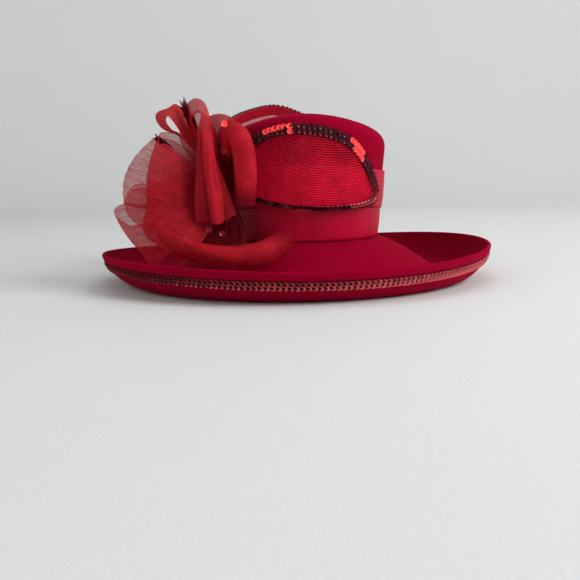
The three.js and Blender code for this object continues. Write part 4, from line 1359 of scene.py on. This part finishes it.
@dataclass(frozen=True)
class RolledRibbon:
    """Ribbon rolled to a hollow tube along a path.

    A row is a place of the path, the tube's radius and how flat it is pressed: 0 is round and 0.6 is a
    band that stands on its edge.
    """

    name: str
    node: str
    rows: tuple[tuple[float, ...], ...]
    sides: int = 36
    stations: int = 90
    root_radius: float = 4.0
    mouth: float = 0.0
    # Share of the length from the knot that takes painted shade.
    shade: float = 0.0

    def build(self, knot: Knot, crin: Material) -> None:
        """Models the tube with a thin wall."""
        line = spline([(*knot.centre(), self.root_radius, 0.0), *self.rows], self.stations)
        path, radius, flat = line[:, :3], line[:, 3], line[:, 4]
        along = unit(np.gradient(path, axis=0))
        side = unit(np.cross(along[0], UP))
        run = np.linspace(0, 1, self.stations)
        turn = circle(self.sides)
        rings = []
        for i, share in enumerate(run):
            side = unit(side - along[i] * float(side @ along[i]))
            other = np.cross(along[i], side)
            ripple = 1 + 0.025 * np.sin(3 * turn + i * 0.16) + 0.015 * np.sin(5 * turn - i * 0.31)
            wide = radius[i] * ripple * (1 - 0.85 * flat[i]) * np.cos(turn)
            tall = radius[i] * ripple * (1 + 0.65 * flat[i]) * np.sin(turn)
            slant = self.mouth * smooth(0.86, 1.0, share) * np.sin(turn + 0.6)
            rings.append(path[i] + np.outer(wide, side) + np.outer(tall, other) + np.outer(slant, along[i]))
        grid = np.array(rings)
        length = float(runs(path)[-1])
        girth = TURN * float(radius.mean())
        at = run[:, None] * length
        cloth = weave(at, np.abs(turn - math.pi) / TURN * girth, np.minimum(at, 30)[::-1])
        shaded = (1 - smooth(self.shade * 0.4, self.shade, run)) * 0.85 if self.shade else run * 0
        obj = skin(self.name, grid, wall=CLOTH_WALL, offset=-1.0, weave=cloth,
                   dip=np.maximum(knot.dip(grid, 44.0), shaded[:, None]),
                   fray=np.repeat(smooth(0.85, 1.0, run), self.sides))
        dress(obj, crin, "mesh_ribbon", self.node)


SIDE_TUBE = (
    (-68, -104, 142, 6, 0.0), (-61, -116, 159, 9, 0.1), (-52, -124, 147, 10.5, 0.1),
    (-49, -127, 122, 10.8, 0.05), (-50, -125, 88, 9.8, 0.0),
)
LOW_ROLL = (
    (-118, -100, 72, 11, 0.35), (-129, -122, 58, 15, 0.6), (-108, -144, 47, 14, 0.5),
    (-74, -151, 40, 11.5, 0.2), (-36, -148, 42, 11.5, 0.0), (-5, -133, 57, 11, -0.1),
)


@dataclass(frozen=True)
class Feather:
    """One feather: a tapering quill with barbs on both sides."""

    azimuth: float
    lift: float
    reach: float
    width: float
    bend: float
    bare: float = 0.35
    barbs: int = 34
    stout: float = 1.0

    def strands(self, knot: Knot, draw: random.Random) -> list[Array]:
        """Root, middle and tip of every strand with its half width, the quill first."""
        ahead = aim(self.azimuth, self.lift)
        level, raised = cross_axes(ahead)
        root = knot.centre() + ahead * knot.radius

        def on_quill(t: float) -> Array:
            """Point of the quill at a share of its length."""
            return root + ahead * (self.reach - knot.radius) * t + level * self.bend * math.sin(math.pi * t)

        made = [np.array([[*on_quill(t), lerp(0.6, 0.15, t)] for t in np.linspace(0, 1, 14)])]
        for i in range(self.barbs):
            t = lerp(self.bare, 1.0, i / (self.barbs - 1))
            side = 1 if i % 2 else -1
            long = self.width * (0.45 + 0.75 * math.sin(math.pi * min(t * 0.9, 1))) * draw.uniform(0.7, 1.1)
            start = on_quill(t)
            lean = unit(ahead * draw.uniform(1.1, 1.7) + raised * side + level * draw.uniform(-0.3, 0.3))
            middle = start + lean * long * 0.55
            tip = middle + unit(lean + ahead * 0.8) * long * 0.6
            made.append(np.array([[*start, self.stout], [*middle, self.stout * 0.8], [*tip, 0.1]]))
        return made


@dataclass(frozen=True)
class Tuft:
    """Dense down that stands out from the rosette's heart about one direction and bends upwards.

    The taper is a row of shares of a strand's length, each with the strand's half width there.
    """

    azimuth: float
    lift: float
    spread: float
    short: float
    long: float
    rise: float
    count: int
    taper: tuple[tuple[float, float], ...] = ((0.0, 0.8), (0.35, 1.0), (0.7, 0.7), (1.0, 0.08))

    def strands(self, knot: Knot, draw: random.Random) -> list[Array]:
        """Four points of every strand with its half width."""
        made = []
        for _ in range(self.count):
            ahead = aim(self.azimuth + draw.gauss(0, self.spread), self.lift + draw.gauss(0, self.spread))
            long = draw.uniform(self.short, self.long)
            sway = (np.array([draw.gauss(0, 1) for _ in range(3)]) * 0.1 + UP * self.rise) * long
            root = knot.centre() + ahead * knot.radius * 0.6
            rows = [[*(root + ahead * long * t + sway * t * t), half] for t, half in self.taper]
            made.append(np.array(rows))
        return made


@dataclass(frozen=True)
class Spray:
    """The feathers tucked among the loops."""

    feathers: tuple[Feather, ...] = (
        Feather(211, 61, 103, 9, -3, bare=0.68), Feather(206, 60, 99, 8, 3, bare=0.68),
        Feather(214, 59, 97, 8, -2, bare=0.7), Feather(208, 35, 96, 8, -3, bare=0.76),
        Feather(181, 17, 108, 1, 0, bare=0.6, barbs=8, stout=0.3), Feather(236, 52, 56, 7, -3),
    )
    tufts: tuple[Tuft, ...] = (
        Tuft(274, 28, 11, 26, 46, 0.55, 150), Tuft(262, 48, 9, 30, 54, 0.25, 110),
        Tuft(266, -38, 14, 26, 52, -0.1, 150),
    )
    seed: int = 3

    def build(self, knot: Knot, quill: Material) -> None:
        """Models all strands as one joined mesh of tapering four-sided rods."""
        draw = random.Random(self.seed)
        vertices, faces = [], []
        for tufted in (*self.feathers, *self.tufts):
            for strand in tufted.strands(knot, draw):
                points, sides = self.rod(strand)
                faces += [[len(vertices) + k for k in face] for face in sides]
                vertices += list(points)
        obj = new_object("feather_spray_barbs", vertices, faces)
        clean(obj, 0.000001)
        soften(obj, 60)
        dress(obj, quill, "feather", "feather_spray")

    @staticmethod
    def rod(strand: Array) -> tuple[Array, list[tuple[int, ...]]]:
        """Vertices and faces of a closed four-sided rod along a strand."""
        path, half = strand[:, :3], strand[:, 3:]
        along = unit(np.gradient(path, axis=0))
        side = unit(np.cross(along, UP + (0.3, 0.1, 0.0)))
        other = np.cross(along, side) * 0.5
        corners = path[:, None] + np.stack([side, other, -side, -other], 1) * half[:, None]
        end = 4 * len(path)
        faces = [*grid_faces(len(path), 4, False, True), (3, 2, 1, 0), tuple(range(end - 4, end))]
        return corners.reshape(-1, 3), faces


@dataclass(frozen=True)
class Rosette:
    """All that is gathered on the knot."""

    knot: Knot
    # The fourth number of a paillette is its painted highlight.
    paillettes: tuple[tuple[float, ...], ...] = (
        (-69, -118, 167, 1.0), (-71, -112, 141, 0.3), (-87, -126, 64, 0.16), (-74, -124, 60, 0.08),
    )

    def build(self, crins: dict[MeshLook, Material], quill: Material, film: Material) -> None:
        """Models the rosette piece by piece."""
        knot, rolled = self.knot, crins[MeshLook.ROLLED]
        # The knot takes the shaded look: painted shade at the rosette's heart.
        knot.build(crins[MeshLook.SHADED])
        for loop in (*PETALS, *LOOPS):
            grid = loop.grid(knot)
            dip, cover = knot.dip(grid, loop.shade), np.full(grid.shape[:2], loop.cover)
            MeshRibbon(loop.node + "_mesh", loop.node, grid, dip, cover).build(crins[loop.look])
        grid = TAIL.grid(knot)
        dip = np.maximum(knot.dip(grid, 45.0), TAIL.dip())
        MeshRibbon("tail_mesh", "tail_loop", grid, dip, TAIL.thinner(), held="hung").build(rolled)
        RolledRibbon("side_tube_mesh", "side_tube", SIDE_TUBE, shade=0.4).build(knot, rolled)
        RolledRibbon("low_roll_mesh", "low_roll", LOW_ROLL, mouth=3.5).build(knot, crins[MeshLook.SOFT])
        Spray().build(knot, quill)
        along, out = np.array([1.0, 0, 0.2]), np.array([0.1, -1.0, 0.25])
        places = [seat(np.array(p[:3]), along, out, 8, 5) for p in self.paillettes]
        glints = [(p[3], 0.8, 0.0) for p in self.paillettes]
        dress(Sequins(3.3).stamp("heart_paillettes", places, glints), film, "sequins")


# Studio


@dataclass(frozen=True)
class Studio:
    """Camera at the photograph's angle, soft lights and a pale sweep."""

    camera_x: float = -8.0
    camera_back: float = 953.0
    camera_z: float = 123.0
    pitch: float = 8.3
    roll: float = -1.17
    lens: float = 51.95
    floor: float = 1700.0
    cove: float = 700.0
    wall: float = 3200.0

    def camera(self) -> None:
        """Makes the camera."""
        data = bpy.data.cameras.new("camera")
        data.lens, data.sensor_width = self.lens, 36.0
        data.clip_start, data.clip_end = 0.01, 50.0
        camera = linked("camera", data)
        place = Matrix.Translation(Vector((self.camera_x, -self.camera_back, self.camera_z)) * MM)
        down = Matrix.Rotation(math.radians(90 - self.pitch), 4, "X")
        camera.matrix_world = place @ down @ Matrix.Rotation(math.radians(self.roll), 4, "Z")
        bpy.context.scene.camera = camera

    def sweep(self) -> None:
        """Makes the floor and the wall round it as one shallow bowl."""
        line = [(0.0, 0.0), (400.0, 0.0), (self.floor, 0.0)]
        for a in np.linspace(0, math.pi / 2, 25)[1:]:
            line.append((self.floor + self.cove * math.sin(a), self.cove * (1 - math.cos(a))))
        line.append((self.floor + self.cove, self.wall))
        grid = np.array([[(r * math.cos(a), r * math.sin(a), z) for a in circle(96)] for r, z in line])
        obj = skin("sweep", grid, merge=DOUBLES)
        obj.data.materials.append(Paper().material())

    def lights(self) -> None:
        """Makes the soft lights."""
        scene = bpy.context.scene
        scene.view_settings.view_transform = "Standard"
        scene.world = bpy.data.worlds.new("room")
        scene.world.use_nodes = True
        background = scene.world.node_tree.nodes["Background"]
        background.inputs[0].default_value = (0.86, 0.9, 0.92, 1)
        background.inputs[1].default_value = 0.22
        self.area("key", (1500, -900, 1150), (20, 0, 90), size=1100, watts=32)
        self.area("window", (-1500, -900, 1100), (-20, 0, 60), size=1400, watts=6)
        self.area("top", (200, 200, 1900), (0, 0, 60), size=1500, watts=7)
        self.area("wall", (700, 900, 1700), (400, 2400, 500), size=900, watts=7)

    @staticmethod
    def area(name: str, place: Sequence[float], target: Sequence[float], size: float, watts: float) -> None:
        """Makes one square soft light.

        Args:
            name: the light's name.
            place: its middle in millimetres.
            target: the point that it faces.
            size: its side in millimetres.
            watts: its power.
        """
        data = bpy.data.lights.new(name, "AREA")
        data.size, data.energy = size * MM, watts
        light = linked(name, data)
        light.location = Vector(place) * MM
        light.rotation_euler = (Vector(target) - Vector(place)).to_track_quat("-Z", "Y").to_euler()


def main() -> None:
    """Builds the hat and its studio in order."""
    studio = Studio()
    studio.camera()
    studio.sweep()
    studio.lights()
    felt, satin, film = Felt().material(), Satin().material(), SequinFilm().material()
    crins = {look: Crin(look).material() for look in MeshLook}
    crown = Crown()
    brim = Brim(crown)
    crown.build(felt)
    brim.build(felt)
    Band(crown, "band_lower_satin", "band_lower", inside=0.3, bottom=47.2, top=85.0, rise=0.0).build(satin)
    Band(crown, "band_upper_satin", "band_upper", inside=1.8, bottom=77.0, top=117.5, rise=8.0).build(satin)
    sequins = Sequins()
    # The tape's dark colours are painted shade between the sequins and under the hem.
    tape = Satin("tape_in_painted_shade", linear(70, 0, 12), linear(40, 0, 8)).material()
    BrimTrim(brim).build(sequins, film, tape)
    front = SideLoop(crown, "front_loop", -1, FRONT_OUTLINE, turn=52.0,
                     painted_highlight=((-25, -8, 0), (-8.6, -6.2, 1), (27, 38, 0), (29, 38, 1)))
    back = SideLoop(crown, "back_loop", 1, BACK_OUTLINE, rows=(0.5, 6.3), cover=0.1, seed=9)
    front.build(crins[MeshLook.LAID], sequins, film, tape)
    back.build(crins[MeshLook.LAID], sequins, film, satin)
    Rosette(Knot(crown)).build(crins, Quill().material(), film)


if __name__ == "__main__":
    main()
